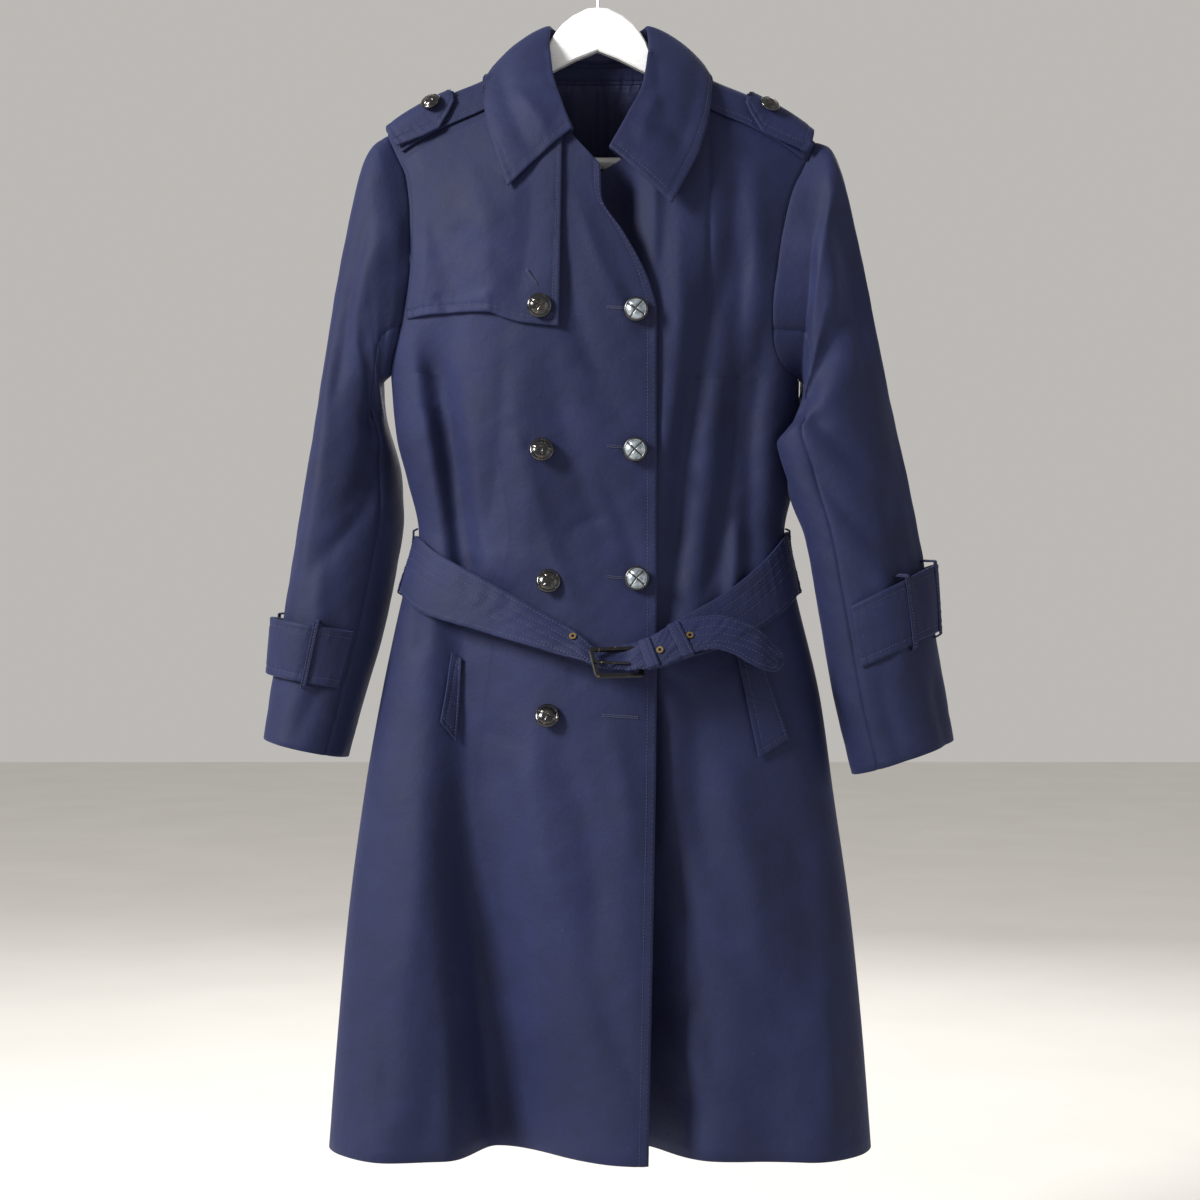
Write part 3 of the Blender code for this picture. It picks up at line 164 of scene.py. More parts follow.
# Collar lines from the right front end, round the back, to the left front end.
COLLAR = table(
    "part seam_x seam_y seam_down roll_x roll_y roll_down edge_x edge_y edge_down crown",
    (0.00, -29, -51, 203, -24, -58, 200, -83, -64, 254, 3),
    (0.10, -44, -42, 176, -34, -50, 173, -95, -54, 221, 6),
    (0.19, -54, -28, 148, -43, -32, 142, -104, -38, 190, 9),
    (0.27, -60, -12, 126, -46, -12, 106, -108, -16, 158, 9),
    (0.33, -60, 4, 118, -45, 7, 90, -107, 6, 141, 8),
    (0.41, -42, 22, 122, -34, 26, 93, -78, 42, 158, 8),
    (0.50, 0, 30, 125, 0, 34, 97, 0, 52, 170, 8),
    (0.59, 42, 22, 122, 34, 26, 93, 78, 42, 156, 8),
    (0.67, 60, 4, 118, 46, 7, 90, 106, 6, 137, 8),
    (0.73, 60, -12, 127, 48, -12, 112, 108, -16, 150, 9),
    (0.81, 50, -28, 154, 43, -33, 152, 105, -36, 180, 9),
    (0.90, 34, -42, 186, 28, -48, 186, 96, -50, 214, 6),
    (1.00, 8, -48, 221, 11, -56, 218, 68, -62, 270, 3),
)

# The belt's edges, by how far round it is: 0 to 1 front left, 1 to 3 the back, 3 to 4 front right.
BELT = table(
    "around top foot top_off foot_off",
    (0.035, 681, 700, 11.5, 19.0),
    (0.125, 675, 699, 13.0, 21.0),
    (0.165, 669, 698, 13.5, 23.0),
    (0.24, 656, 690, 12.5, 24.0),
    (0.40, 634, 677, 6.5, 12.0),
    (0.62, 604, 654, 3.0, 4.0),
    (0.85, 580, 634, 1.8, 1.8),
    (1.00, 573, 627, 1.8, 1.8),
    (1.40, 578, 624, 1.8, 1.8),
    (2.00, 582, 627, 1.8, 1.8),
    (2.60, 578, 625, 1.8, 1.8),
    (3.00, 577, 626, 1.8, 1.8),
    (3.15, 580, 634, 2.0, 2.0),
    (3.35, 594, 648, 3.4, 4.4),
    (3.58, 615, 661, 6.5, 10.0),
    (3.75, 637, 674, 9.0, 17.0),
    (3.90, 661, 687, 13.0, 26.0),
)
# The rest of the same strip: behind the buckle's near bar, over its far bar, and its free end.
BELT_END = table(
    "x top_y top foot_y foot",
    (-14, -87, 672, -101, 691),
    (-5, -91, 680, -103, 696),
    (8, -93, 685, -103, 699),
    (24, -92, 685, -102, 700),
    (40, -94, 677, -106, 699),
    (50, -93, 671, -107, 698),
    (58, -92, 666, -107, 696),
    (76, -88, 657, -104, 689),
    (90, -84, 654, -102, 683),
    (106, -80, 652, -101, 681),
    (124, -76, 655, -100, 686),
    (146, -70, 664, -96, 698),
    (160, -65, 676, -86, 702),
    (169, -62, 687, -74, 698),
)
FLAP_FOOT = table(
    "x down", (-179, 373), (-152, 370), (-124, 369), (-101, 370), (-87, 375), (-71, 380), (-36, 384)
)
FLAP_EDGE_X = -33.0
FLAP_SEAM_X = (-184.5, -178.5)  # its other edge, at the top and at the foot
FLAP_REST = 2.4  # gap between the flap and the front
WELT_REST = 2.2  # gap between a pocket welt and the front
POCKETS = {
    "right": ((-137, 686), (-147, 750), (-133, 768), (-127, 692)),
    "left": ((128, 686), (148, 782), (176, 765), (153, 697)),
}
FRONT_EDGE = table(
    "down x", (233.6, 2), (263, 3), (296, 23), (324, 39), (345, 48), (370, 54), (640, 54), (1149, 45.5)
)
UNDERLAP_EDGE = table("down x", (262, -40), (330, -56), (700, -62), (1149, -58))


# Curves and surfaces -------------------------------------------------------------------------


def monotone(xs, ys, at):
    """A smooth curve through the points (xs, ys) that never overshoots them."""
    step = np.diff(xs)
    slope = np.diff(ys) / step
    tangent = np.zeros(len(xs))
    tangent[0], tangent[-1] = slope[0], slope[-1]
    same = slope[:-1] * slope[1:] > 0
    middle = np.zeros(len(slope) - 1)
    middle[same] = 2 * slope[:-1][same] * slope[1:][same] / (slope[:-1][same] + slope[1:][same])
    tangent[1:-1] = middle
    at = np.clip(at, xs[0], xs[-1])
    i = np.clip(np.searchsorted(xs, at, side="right") - 1, 0, len(step) - 1)
    s = (at - xs[i]) / step[i]
    rise = ys[i] * (2 * s**3 - 3 * s**2 + 1) + ys[i + 1] * (3 * s**2 - 2 * s**3)
    return rise + step[i] * (tangent[i] * (s**3 - 2 * s**2 + s) + tangent[i + 1] * (s**3 - s**2))


def read(tab, name, at):
    """One column of a table, smooth against its first column."""
    return monotone(next(iter(tab.values())), tab[name], np.asarray(at, float))


def ease(value):
    """A soft step from 0 to 1."""
    value = np.clip(value, 0.0, 1.0)
    return value * value * (3 - 2 * value)


def unit(vectors):
    """Vectors of length one."""
    return vectors / np.maximum(np.linalg.norm(vectors, axis=-1, keepdims=True), 1e-9)


def ridge(x):
    """How far down the shoulder's ridge is."""
    return read(SHOULDER, "down", np.abs(x))


def middle_and_half(down):
    """The middle and the half width of the coat at a height."""
    right, left = read(BODY, "right", down), read(BODY, "left", down)
    return (left - right) / 2, (left + right) / 2


def angle_of(x, down):
    """How far round the coat a point is, from straight ahead."""
    middle, half = middle_and_half(down)
    return np.arcsin(np.clip((x - middle) / half, -1, 1))


def x_of(angle, down):
    """The other way round from angle_of."""
    middle, half = middle_and_half(down)
    return middle + half * np.sin(angle)


def plain_depth(x, down, side):
    """Depth of the coat without folds, rounded over the hanger at the shoulder."""
    flat = np.cos(angle_of(x, down))
    depth = read(BODY, side, down) * np.maximum(flat, 0) ** read(BODY, "round", down)
    drop = np.maximum(down - ridge(x), 0)
    over = np.sqrt(1 - (1 - np.minimum(drop / RIDGE, 1)) ** 2)
    return np.minimum(RIDGE * over, 9 + depth) + np.maximum(depth - RIDGE, 0) * np.sin(
        np.minimum(drop / FALL, 1) * np.pi / 2
    ) - np.maximum(RIDGE * over - depth, 0) * ease((down - 330) / 90)


def folds(tab, x, down):
    """How far the folds sink at a point of a panel."""
    sunk = np.zeros(np.broadcast(x, down).shape)
    for row in zip(*tab.values()):
        top, mid, foot, x_top, x_mid, x_foot, d_top, d_mid, d_foot, right, left, edge = row
        stations = np.array((top, mid, foot))
        line = monotone(stations, np.array((x_top, x_mid, x_foot)), down)
        depth = monotone(stations, np.array((d_top, d_mid, d_foot)), down)
        depth = depth * ease((down - top) / 60) * ease((foot + 60 - down) / 60)
        width = np.where(x < line, right, left)
        sunk = sunk + depth * np.exp(-np.abs((x - line) / width) ** edge)
    keep = ease(np.cos(angle_of(x, down)) / 0.35) * ease((down - ridge(x) - 12) / 50)
    return sunk * keep


def overlap_y(x, down):
    """The right front, which stands forward where it laps over."""
    lift = LIFT * ease((x + 150) / 90) * ease((down - ridge(x) - 10) / 60)
    return -plain_depth(x, down, "front") - lift + folds(FRONT_RIGHT_FOLDS, x, down)


def underlap_y(x, down):
    """The left front, which keeps behind the right one where it is covered."""
    own = -plain_depth(x, down, "front") + folds(FRONT_LEFT_FOLDS, x, down)
    hidden = ease((60 - x) / 12) * ease((down - 236) / 20)
    return np.where(hidden > 0, np.maximum(own, overlap_y(x, down) + LIFT * hidden), own)


def back_y(x, down):
    """The back without its creases."""
    return plain_depth(x, down, "back") - folds(BACK_FOLDS, x, down)


def at_surface(surface, x, down):
    """Points of a surface from x and down."""
    return np.stack(np.broadcast_arrays(x, surface(x, down), -np.asarray(down, float)), axis=-1)


def grid_normals(points, toward, ring=False):
    """Normals of a grid, on the side of the direction toward."""
    if ring:
        across = np.roll(points, -1, 0) - np.roll(points, 1, 0)
    else:
        across = np.gradient(points, axis=0)
    along = np.gradient(points, axis=1)
    normals = unit(np.cross(across, along))
    if np.mean(np.sum(normals * toward, -1)) < 0:
        normals = -normals
    return normals


def armhole(side, face):
    """The armhole seam from the shoulder tip to the underarm, on the front or the back."""
    tab = ARMHOLE_RIGHT if side == "right" else ARMHOLE_LEFT
    part = (1 - np.cos(np.linspace(0, np.pi, ARMHOLE_STEPS + 1))) / 2
    down = tab["down"][0] + (tab["down"][-1] - tab["down"][0]) * part
    if face == "front":
        x = read(tab, "x", down)
        surface = overlap_y if side == "right" else underlap_y
    else:
        sign = -1 if side == "right" else 1
        x = tab["x"][0] + (tab["x"][-1] - tab["x"][0]) * part + sign * read(ARMHOLE_BACK, "reach", part)
        surface = back_y
    points = at_surface(surface, x, down)
    points[[0, -1], 1] = 0
    return points


def panel(surface, top_u, top_x, top_down, edge_x, side, face, steps):
    """A body panel's grid from its front edge, or the other side seam, to a side seam."""
    seam = armhole(side, face)
    foot = seam[-1, 2]
    u = np.linspace(0, 1, steps + 1)
    v = (1 - np.cos(np.linspace(0, np.pi, ARMHOLE_STEPS + 1))) / 2
    first, last = np.interp(u, top_u, top_x), np.interp(u, top_u, top_down)
    low = SKIRT_ROWS
    edge_down = np.concatenate([last[0] + (-foot - last[0]) * v, low])
    side_down = np.concatenate([-seam[:, 2], low])
    side_x = np.concatenate([seam[:, 0], x_of(np.sign(seam[-1, 0]) * np.pi / 2, low)])
    edge = edge_x(edge_down)
    start_angle, end_angle = angle_of(edge, edge_down), angle_of(side_x, side_down)
    reach = np.concatenate([(1 - v) ** 2, np.zeros(len(low))])
    down = edge_down + np.outer(u, side_down - edge_down)
    down = down + np.outer(last - down[:, 0], np.concatenate([1 - v, np.zeros(len(low))]))
    straight = edge + np.outer(u, side_x - edge)
    straight = straight + np.outer(first - straight[:, 0], reach)
    curved = x_of(start_angle + np.outer(u, end_angle - start_angle), down)
    share = np.concatenate([v**2, np.ones(len(low))])
    x = straight * (1 - share) + curved * share
    points = at_surface(surface, x, down)
    points[-1, : len(seam)] = seam
    points[-1, len(seam) :, 1] = 0
    return points


def sleeve_rings(side):
    """The whole sleeve's grid, round and along, starting on the armhole seam."""
    tab = SLEEVE_RIGHT if side == "right" else SLEEVE_LEFT
    turn = np.arange(SLEEVE_SIDES) * 2 * np.pi / SLEEVE_SIDES
    rings = len(tab["bow"])
    ends = [np.stack([tab[f"{e}_x"], tab[f"{e}_y"], -tab[f"{e}_down"]], -1) for e in ("out", "in")]
    middle, reach = (ends[0] + ends[1]) / 2, (ends[0] - ends[1]) / 2
    grid = middle + np.cos(turn)[:, None, None] * reach
    wave = np.sin(turn)[:, None]
    grid[..., 1] -= np.where(wave > 0, wave * tab["front"], wave * tab["rear"])
    grid[..., 0] += wave**2 * tab["bow"]
    front, rear = armhole(side, "front"), armhole(side, "back")
    grid[: ARMHOLE_STEPS + 1, 0] = front
    grid[ARMHOLE_STEPS:, 0] = rear[:0:-1]
    for k in range(1, rings):
        grid[:, k] = clear_of_body(grid[:, k], SLEEVE_CLEAR, UNDERARM[side])
    return grid


def clear_of_body(points, margin, underarm):
    """Pushes points below the underarm outwards until they are clear of the body."""
    x, y, down = points[:, 0], points[:, 1], -points[:, 2]
    middle, half = middle_and_half(down)
    depth = read(BODY, "front", down)
    far = np.hypot((x - middle) / half, y / depth)
    need = 1 + margin / np.where(np.abs(y) > depth * 0.6, depth, half * 0.6)
    push = np.maximum(need / np.maximum(far, 0.05), 1)
    push = 1 + (push - 1) * ease((down - underarm + 12) / 24)
    moved = points.copy()
    moved[:, 0] = middle + (x - middle) * push
    moved[:, 1] = y * push
    return moved


def over_shoulder(x, along):
    """A point of the shoulder by its distance along the cloth from the ridge, front positive."""
    bend = np.minimum(np.abs(along) / RIDGE, np.pi / 2)
    drop = RIDGE * (1 - np.cos(bend)) + np.maximum(np.abs(along) - RIDGE * np.pi / 2, 0) * 0.93
    down = ridge(x) + drop
    depth = np.where(
        along > 0, -plain_depth(x, down, "front"), plain_depth(x, down, "back")
    )
    return np.stack([x, depth, -down], -1)


def neck_seam(grids, part):
    """The neck seam from the right front end round the back to the left front end, and which way is up."""
    right, back, left = grids["front_right"], grids["back"], grids["front_left"]
    pieces = (
        right[(right[:, 0, 0] > -62.5) & (right[:, 0, 0] < -24)],
        back[np.abs(back[:, 0, 0]) < 61],
        left[(left[:, 0, 0] < 62.5) & (left[:, 0, 0] > 21)][::-1],
    )
    knots, points, away = [], [], []
    for piece, (start, end) in zip(pieces, ((0, 0.31), (0.34, 0.66), (0.69, 1))):
        seam = piece[:, 0]
        length = np.concatenate([[0], np.cumsum(np.linalg.norm(np.diff(seam, axis=0), axis=1))])
        knots.append(start + (end - start) * length / length[-1])
        points.append(seam)
        away.append(unit(seam - piece[:, 1]))
    knots, points, away = (np.concatenate(each) for each in (knots, points, away))
    return [np.stack([np.interp(part, knots, each[:, k]) for k in range(3)], -1) for each in (points, away)]


def clear_of_shoulder(points, gap):
    """Keeps the collar's fall in front of, behind and above the cloth under it."""
    points = points.copy()
    x, y, down = points[..., 0], points[..., 1], -points[..., 2]
    heart = ridge(x) + RIDGE
    far = np.hypot(y, down - heart)
    push = np.maximum((RIDGE + gap) / np.maximum(far, 1), 1)
    push = np.where((down < heart) & (np.abs(x) > 60), push, 1)
    points[..., 1] = y * push
    points[..., 2] = -(heart + (down - heart) * push)
    y, down = points[..., 1], -points[..., 2]
    beyond = down - ridge(x)
    front = -plain_depth(x, down, "front") - gap - LIFT * ease((beyond - 10) / 60)
    rear = plain_depth(x, down, "back") + gap
    below = beyond > RIDGE
    points[..., 1] = np.where(below & (y < 0), np.minimum(y, front), points[..., 1])
    points[..., 1] = np.where(below & (y >= 0), np.maximum(y, rear), points[..., 1])
    return points


def place_around(around, down, off):
    """A point round the waist at a distance off the plain cloth, and its direction out."""
    around, down, off = np.broadcast_arrays(around, down, off)
    turn = around * np.pi / 2
    middle, half = middle_and_half(down)
    back = (around > 1) & (around < 3)
    depth = np.where(back, read(BODY, "back", down), read(BODY, "front", down))
    flat = -np.cos(turn)
    y = np.sign(flat) * np.abs(flat) ** read(BODY, "round", down) * depth
    normal = unit(np.stack([np.sin(turn) / half, flat / depth, 0 * flat], -1))
    return np.stack([middle + half * np.sin(turn), y, -down], -1) + normal * off[..., None], normal


# Creases --------------------------------------------------------------------------------------

# A crease runs from its start to its end, bowed sideways. depth is how far it sinks, or stands
# out where negative, and hard is 2 for a soft trough and less for a sharp one.
OVERRUN, TAPER = 0.12, 0.4  # how far a crease runs past its ends, and its fading, as shares of it
CREASE_DEPTH = 2.0  # depth of every crease beside the depth in its table
CREASE_COLUMNS = "x down to_x to_down bow width depth hard"
RIGHT_CREASES = table(
    CREASE_COLUMNS,
    (-134, 352, -122, 560, -7, 12, 2.0, 1.7),
    (-98, 402, -64, 600, 10, 15, -2.0, 1.8),
    (-88, 390, -104, 575, 6, 12, 1.6, 1.6),
    (-36, 300, 22, 470, -10, 13, 2.2, 1.7),
    (-20, 262, 40, 395, -6, 9, -1.5, 1.6),
    (-48, 402, 14, 600, -8, 15, 1.9, 1.8),
    (-62, 512, -20, 645, -5, 12, -1.6, 1.7),
    (2, 516, 44, 640, 5, 11, 1.5, 1.7),
    (22, 340, 46, 400, 2, 8, 1.2, 1.6),
    (-140, 700, -96, 830, 8, 18, 1.8, 1.8),
    (-62, 742, -36, 930, -9, 18, -2.2, 1.9),
    (-40, 755, 6, 960, 8, 16, 2.0, 1.8),
    (8, 740, 32, 880, 5, 13, -1.4, 1.8),
    (-10, 900, 30, 1075, -7, 18, 1.8, 1.9),
    (-165, 800, -178, 1010, 6, 20, -2.2, 1.9),
    (-120, 900, -66, 1105, 10, 20, 2.2, 1.9),
    (-60, 1000, -42, 1130, -5, 15, -1.8, 1.8),
    (-205, 985, -196, 1120, 4, 15, 1.8, 1.8),
    (-150, 1010, -158, 1135, 5, 15, 1.6, 1.8),
    (-84, 470, -58, 500, 3, 8, 1.0, 1.5),
    (-30, 575, 8, 560, 3, 7, 1.0, 1.5),
    (-34, 690, 20, 716, -4, 7, 1.3, 1.5),
    (-20, 712, 40, 742, 4, 9, -1.1, 1.6),
    (0, 1010, 36, 1090, 5, 10, 1.1, 1.6),
    (-110, 760, -60, 775, 5, 9, 0.9, 1.6),
    (-168, 640, -170, 690, 3, 9, 1.5, 1.6),
)
LEFT_CREASES = table(
    CREASE_COLUMNS,
    (104, 196, 104, 384, 0, 3.2, 1.3, 1.3),
    (62, 232, 58, 330, 4, 11, 1.8, 1.7),
    (76, 300, 60, 520, 6, 12, -2.4, 1.7),
    (128, 210, 108, 380, 8, 12, 2.2, 1.7),
    (148, 240, 116, 452, 10, 12, -2.0, 1.7),
    (86, 420, 74, 620, -4, 9, 2.0, 1.6),
    (112, 560, 96, 640, 3, 8, 1.8, 1.6),
    (130, 560, 122, 640, 3, 8, -1.8, 1.6),
    (60, 660, 66, 860, 6, 16, -2.4, 1.8),
    (92, 720, 106, 900, -8, 18, 2.6, 1.8),
    (120, 800, 152, 1010, 8, 20, -2.6, 1.9),
    (66, 880, 104, 1090, 12, 17, 2.8, 1.7),
    (74, 1040, 150, 1130, -14, 14, -2.2, 1.6),
    (60, 1060, 96, 1128, 8, 11, 2.4, 1.5),
    (104, 968, 190, 1040, 12, 15, 2.0, 1.7),
    (180, 840, 196, 1020, 5, 18, 2.2, 1.9),
    (206, 980, 214, 1130, 4, 14, -1.8, 1.8),
    (56, 700, 92, 742, 5, 8, 1.4, 1.5),
    (50, 1010, 100, 1000, -7, 9, 1.8, 1.5),
    (58, 1098, 130, 1112, 6, 10, 1.5, 1.6),
    (150, 1066, 210, 1100, 5, 11, 1.3, 1.6),
)
BACK_CREASES = table(
    CREASE_COLUMNS,
    (-150, 300, -96, 520, -12, 16, 2.4, 1.8),
    (144, 290, 92, 510, 12, 16, 2.2, 1.8),
    (-60, 180, -110, 280, 8, 14, 1.6, 1.8),
    (70, 190, 120, 290, -8, 14, 1.6, 1.8),
    (-24, 330, -14, 540, 5, 15, 1.8, 1.8),
    (36, 380, 22, 570, -6, 14, -1.6, 1.8),
    (-120, 480, -100, 600, 5, 11, -2.0, 1.7),
    (118, 470, 100, 596, -5, 11, 2.0, 1.7),
    (-60, 640, -84, 860, 9, 18, 2.4, 1.8),
    (52, 640, 64, 880, -8, 18, 2.2, 1.8),
    (-172, 700, -186, 940, 7, 20, -2.4, 1.9),
    (168, 690, 190, 960, -7, 20, -2.4, 1.9),
    (-40, 900, -66, 1120, 8, 20, -2.2, 1.9),
    (40, 930, 74, 1125, -8, 20, 2.4, 1.9),
    (-110, 960, -90, 1110, 5, 14, 1.6, 1.7),
    (120, 1000, 168, 1120, 6, 16, 1.8, 1.8),
    (-10, 690, 40, 760, 5, 11, 1.2, 1.6),
    (-200, 1030, -206, 1130, 4, 14, 1.8, 1.8),
)
# On a sleeve, x is replaced by the angle round it: 0 outermost, 90 at the front, 180 innermost.
SLEEVE_CREASES = {
    "right": table(
        CREASE_COLUMNS,
        (52, 250, 46, 470, 10, 12, 2.0, 1.8),
        (84, 262, 96, 430, -10, 11, -1.8, 1.8),
        (30, 380, 44, 640, 8, 12, -1.9, 1.8),
        (112, 420, 84, 560, 12, 12, 2.4, 1.7),
        (128, 490, 60, 610, 10, 10, 2.2, 1.6),
        (70, 600, 96, 700, -6, 10, -1.6, 1.7),
        (20, 640, 40, 770, 6, 12, 1.6, 1.7),
        (100, 650, 80, 770, 6, 11, 1.6, 1.7),
        (140, 440, 96, 470, 8, 9, 2.4, 1.6),
        (-60, 260, -50, 470, 8, 13, 2.0, 1.8),
        (-110, 420, -70, 540, 8, 13, 2.4, 1.7),
        (-30, 480, -44, 700, 8, 12, -1.8, 1.8),
    ),
    "left": table(
        CREASE_COLUMNS,
        (24, 212, 14, 460, 4, 5, -1.5, 1.4),
        (14, 460, 16, 640, 3, 5, -1.4, 1.4),
        (58, 250, 50, 450, -8, 12, 2.0, 1.8),
        (92, 262, 84, 400, -8, 12, -1.8, 1.8),
        (118, 430, 70, 520, 8, 11, 2.4, 1.7),
        (130, 500, 66, 600, 8, 10, 2.0, 1.6),
        (44, 520, 60, 690, 6, 11, 1.8, 1.8),
        (88, 600, 80, 712, -6, 10, -2.2, 1.7),
        (36, 700, 30, 790, 5, 10, 1.6, 1.7),
        (100, 700, 92, 800, 5, 10, 1.6, 1.7),
        (140, 450, 96, 474, 8, 9, 2.2, 1.6),
        (-60, 270, -54, 480, 8, 13, 2.0, 1.8),
        (-100, 440, -66, 560, 8, 13, 2.2, 1.7),
        (-30, 500, -40, 720, 8, 12, -1.8, 1.8),
    ),
}


def creases(tab, x, down, scale=1.0):
    """How far the creases sink at each place. scale turns widths into the units of x."""
    sunk = np.zeros(np.broadcast(x, down).shape)
    for row in zip(*tab.values()):
        x0, down0, x1, down1, bow, width, depth, hard = row
        run_x, run_down = (x1 - x0) / scale, down1 - down0
        length = np.hypot(run_x, run_down)
        far_x, far_down = (x - x0) / scale, down - down0
        along = (far_x * run_x + far_down * run_down) / length
        across = (far_x * run_down - far_down * run_x) / length
        part = along / length
        across = across - bow * np.sin(np.pi * np.clip(part, 0, 1))
        taper = ease((part + OVERRUN) / TAPER) * ease((1 + OVERRUN - part) / TAPER)
        sunk = sunk + CREASE_DEPTH * depth * taper * np.exp(-np.abs(across / width) ** hard)
    return sunk


def ripples(*at):
    """Slow uneven waves that stand for the cloth's small unevenness, from -1 to 1."""
    total = 0
    for k, (wave, turn) in enumerate(((61, 0.3), (37, 1.1), (83, 2.2), (23, 0.8), (149, 1.7))):
        phase = sum(a * f for a, f in zip(at, (np.cos(turn), np.sin(turn), 0.6)))
        total = total + np.sin(phase * 2 * np.pi / wave + 1.7 * k + 0.9 * np.sin(phase / 31 + k))
    return total / 5


def front_y(x, down):
    """The overlap with its creases."""
    keep = ease((down - ridge(x) - 6) / 40)
    return overlap_y(x, down) + keep * (creases(RIGHT_CREASES, x, down) + 0.5 * ripples(x, down))


def under_y(x, down):
    """The underlap with its creases."""
    keep = ease((down - ridge(x) - 6) / 40) * ease((x - 50) / 10)
    return underlap_y(x, down) + keep * (creases(LEFT_CREASES, x, down) + 0.5 * ripples(x, down))


def rear_y(x, down):
    """The back with its creases."""
    keep = ease((down - ridge(x) - 6) / 40)
    return back_y(x, down) - keep * (creases(BACK_CREASES, x, down) + 0.6 * ripples(x, down))


# Meshes ---------------------------------------------------------------------------------------


def mesh_object(name, points, faces):
    """A mesh from arrays of points in millimetres and faces of one size."""
    faces = np.asarray(faces)
    mesh = bpy.data.meshes.new(name)
    mesh.vertices.add(len(points))
    mesh.vertices.foreach_set("co", (np.asarray(points, float) * MM).astype(np.float32).ravel())
    sides = faces.shape[1]
    mesh.loops.add(faces.size)
    mesh.loops.foreach_set("vertex_index", faces.ravel().astype(np.int32))
    mesh.polygons.add(len(faces))
    mesh.polygons.foreach_set("loop_start", np.arange(0, faces.size, sides, dtype=np.int32))
    mesh.polygons.foreach_set("use_smooth", np.full(len(faces), True))
    mesh.update(calc_edges=True)
    made = bpy.data.objects.new(name, mesh)
    bpy.context.scene.collection.objects.link(made)
    return made


def finish_piece(piece, material, node=None):
    """The look and the body of a piece, and the hidden node that it stands for."""
    piece.data.materials.append(material)
    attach(piece, "root")
    if node:
        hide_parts(node)


def set_cut(piece, cut):
    """Gives each point its place on the flat cut, in metres, for the material to read."""
    corners = np.zeros(len(piece.data.loops), np.int32)
    piece.data.loops.foreach_get("vertex_index", corners)
    layer = piece.data.uv_layers.new(name="cut")
    layer.data.foreach_set("uv", cut[corners].astype(np.float32).ravel())


def edge_reach(points, edge):
    """Distance of each point of a grid along the cloth from one of its edges."""
    axis = 0 if edge in ("first", "last") else 1
    if edge in ("last", "foot"):
        return np.flip(edge_reach(np.flip(points, axis), "first" if axis == 0 else "top"), axis)
    step = np.linalg.norm(np.diff(points, axis=axis), axis=-1)
    start = np.zeros_like(np.take(step, [0], axis))
    return np.concatenate([start, np.cumsum(step, axis)], axis)


def line_at(points, normals, edge, reach, rise):
    """The line that runs a distance in from an edge of a grid, lifted by rise."""
    far = edge_reach(points, edge)
    if edge in ("top", "foot"):
        far, points, normals = far.T, points.swapaxes(0, 1), normals.swapaxes(0, 1)
    if edge in ("last", "foot"):
        far, points, normals = far[::-1], points[::-1], normals[::-1]
    line, out = [], []
    for k in range(far.shape[1]):
        here = np.interp(reach, far[:, k], np.arange(len(far)))
        i, t = int(here), here - int(here)
        j = min(i + 1, len(far) - 1)
        line.append(points[i, k] * (1 - t) + points[j, k] * t)
        out.append(normals[i, k] * (1 - t) + normals[j, k] * t)
    line, out = np.array(line), unit(np.array(out))
    return line + out * rise, out


def stitches(line, out, pitch=3.1, length=2.0, radius=0.34):
    """Points and faces of a row of stitches along a line: each a small bead with pointed ends."""
    step = np.linalg.norm(np.diff(line, axis=0), axis=1)
    run = np.concatenate([[0], np.cumsum(step)])
    count = int(run[-1] / pitch)
    if count < 1:
        return np.zeros((0, 3)), np.zeros((0, 3), int)
    middle = (np.arange(count) + 0.5) * run[-1] / count
    place = [np.stack([np.interp(middle + shift, run, line[:, k]) for k in range(3)], -1)
             for shift in (-length / 2, 0, length / 2)]
    up = unit(np.stack([np.interp(middle, run, out[:, k]) for k in range(3)], -1))
    along = unit(place[2] - place[0])
    side = unit(np.cross(along, up))
    body = along * length * 0.28
    rings = []
    for heart in (place[1] - body, place[1] + body):
        for turn in np.arange(4) * np.pi / 2 + np.pi / 4:
            rings.append(heart + (side * np.cos(turn) + up * np.sin(turn)) * radius)
    points = np.stack([place[0], *rings, place[2]], 1)
    one = []
    for k in range(4):
        a, b = 1 + k, 1 + (k + 1) % 4
        one += [(0, b, a), (a, b, b + 4), (a, b + 4, a + 4), (a + 4, b + 4, 9)]
    faces = (np.arange(count)[:, None, None] * 10 + np.array(one)).reshape(-1, 3)
    return points.reshape(-1, 3), faces


RIM_ROUND = 0.42  # how far a sheet's rim rounds out, as a share of its wall
NARROWEST = 10.0  # sewn loops narrower than this aren't sheets
THREAD_RISE = 0.12  # how far a stitch's heart stands off the cloth
THREADS = []  # points and faces of every row of stitches


def sew(made, edge, reach, part=(0, 1), **sizes):
    """Adds a row of topstitching along an edge of what cloth() made, over a part of its length."""
    _, points, normals = made
    line, out = line_at(points, normals, edge, reach, THREAD_RISE)
    first, last = (int(round(p * (len(line) - 1))) for p in part)
    THREADS.append(stitches(line[first : last + 1], out[first : last + 1], **sizes))


GROOVE_HALF = 1.5  # half width of the groove along a row of stitches
GATHERS = (9.3, 5.9)  # the two waves of the small gathers beside it
GATHER_HALF = 6.5  # how far the gathers reach from it


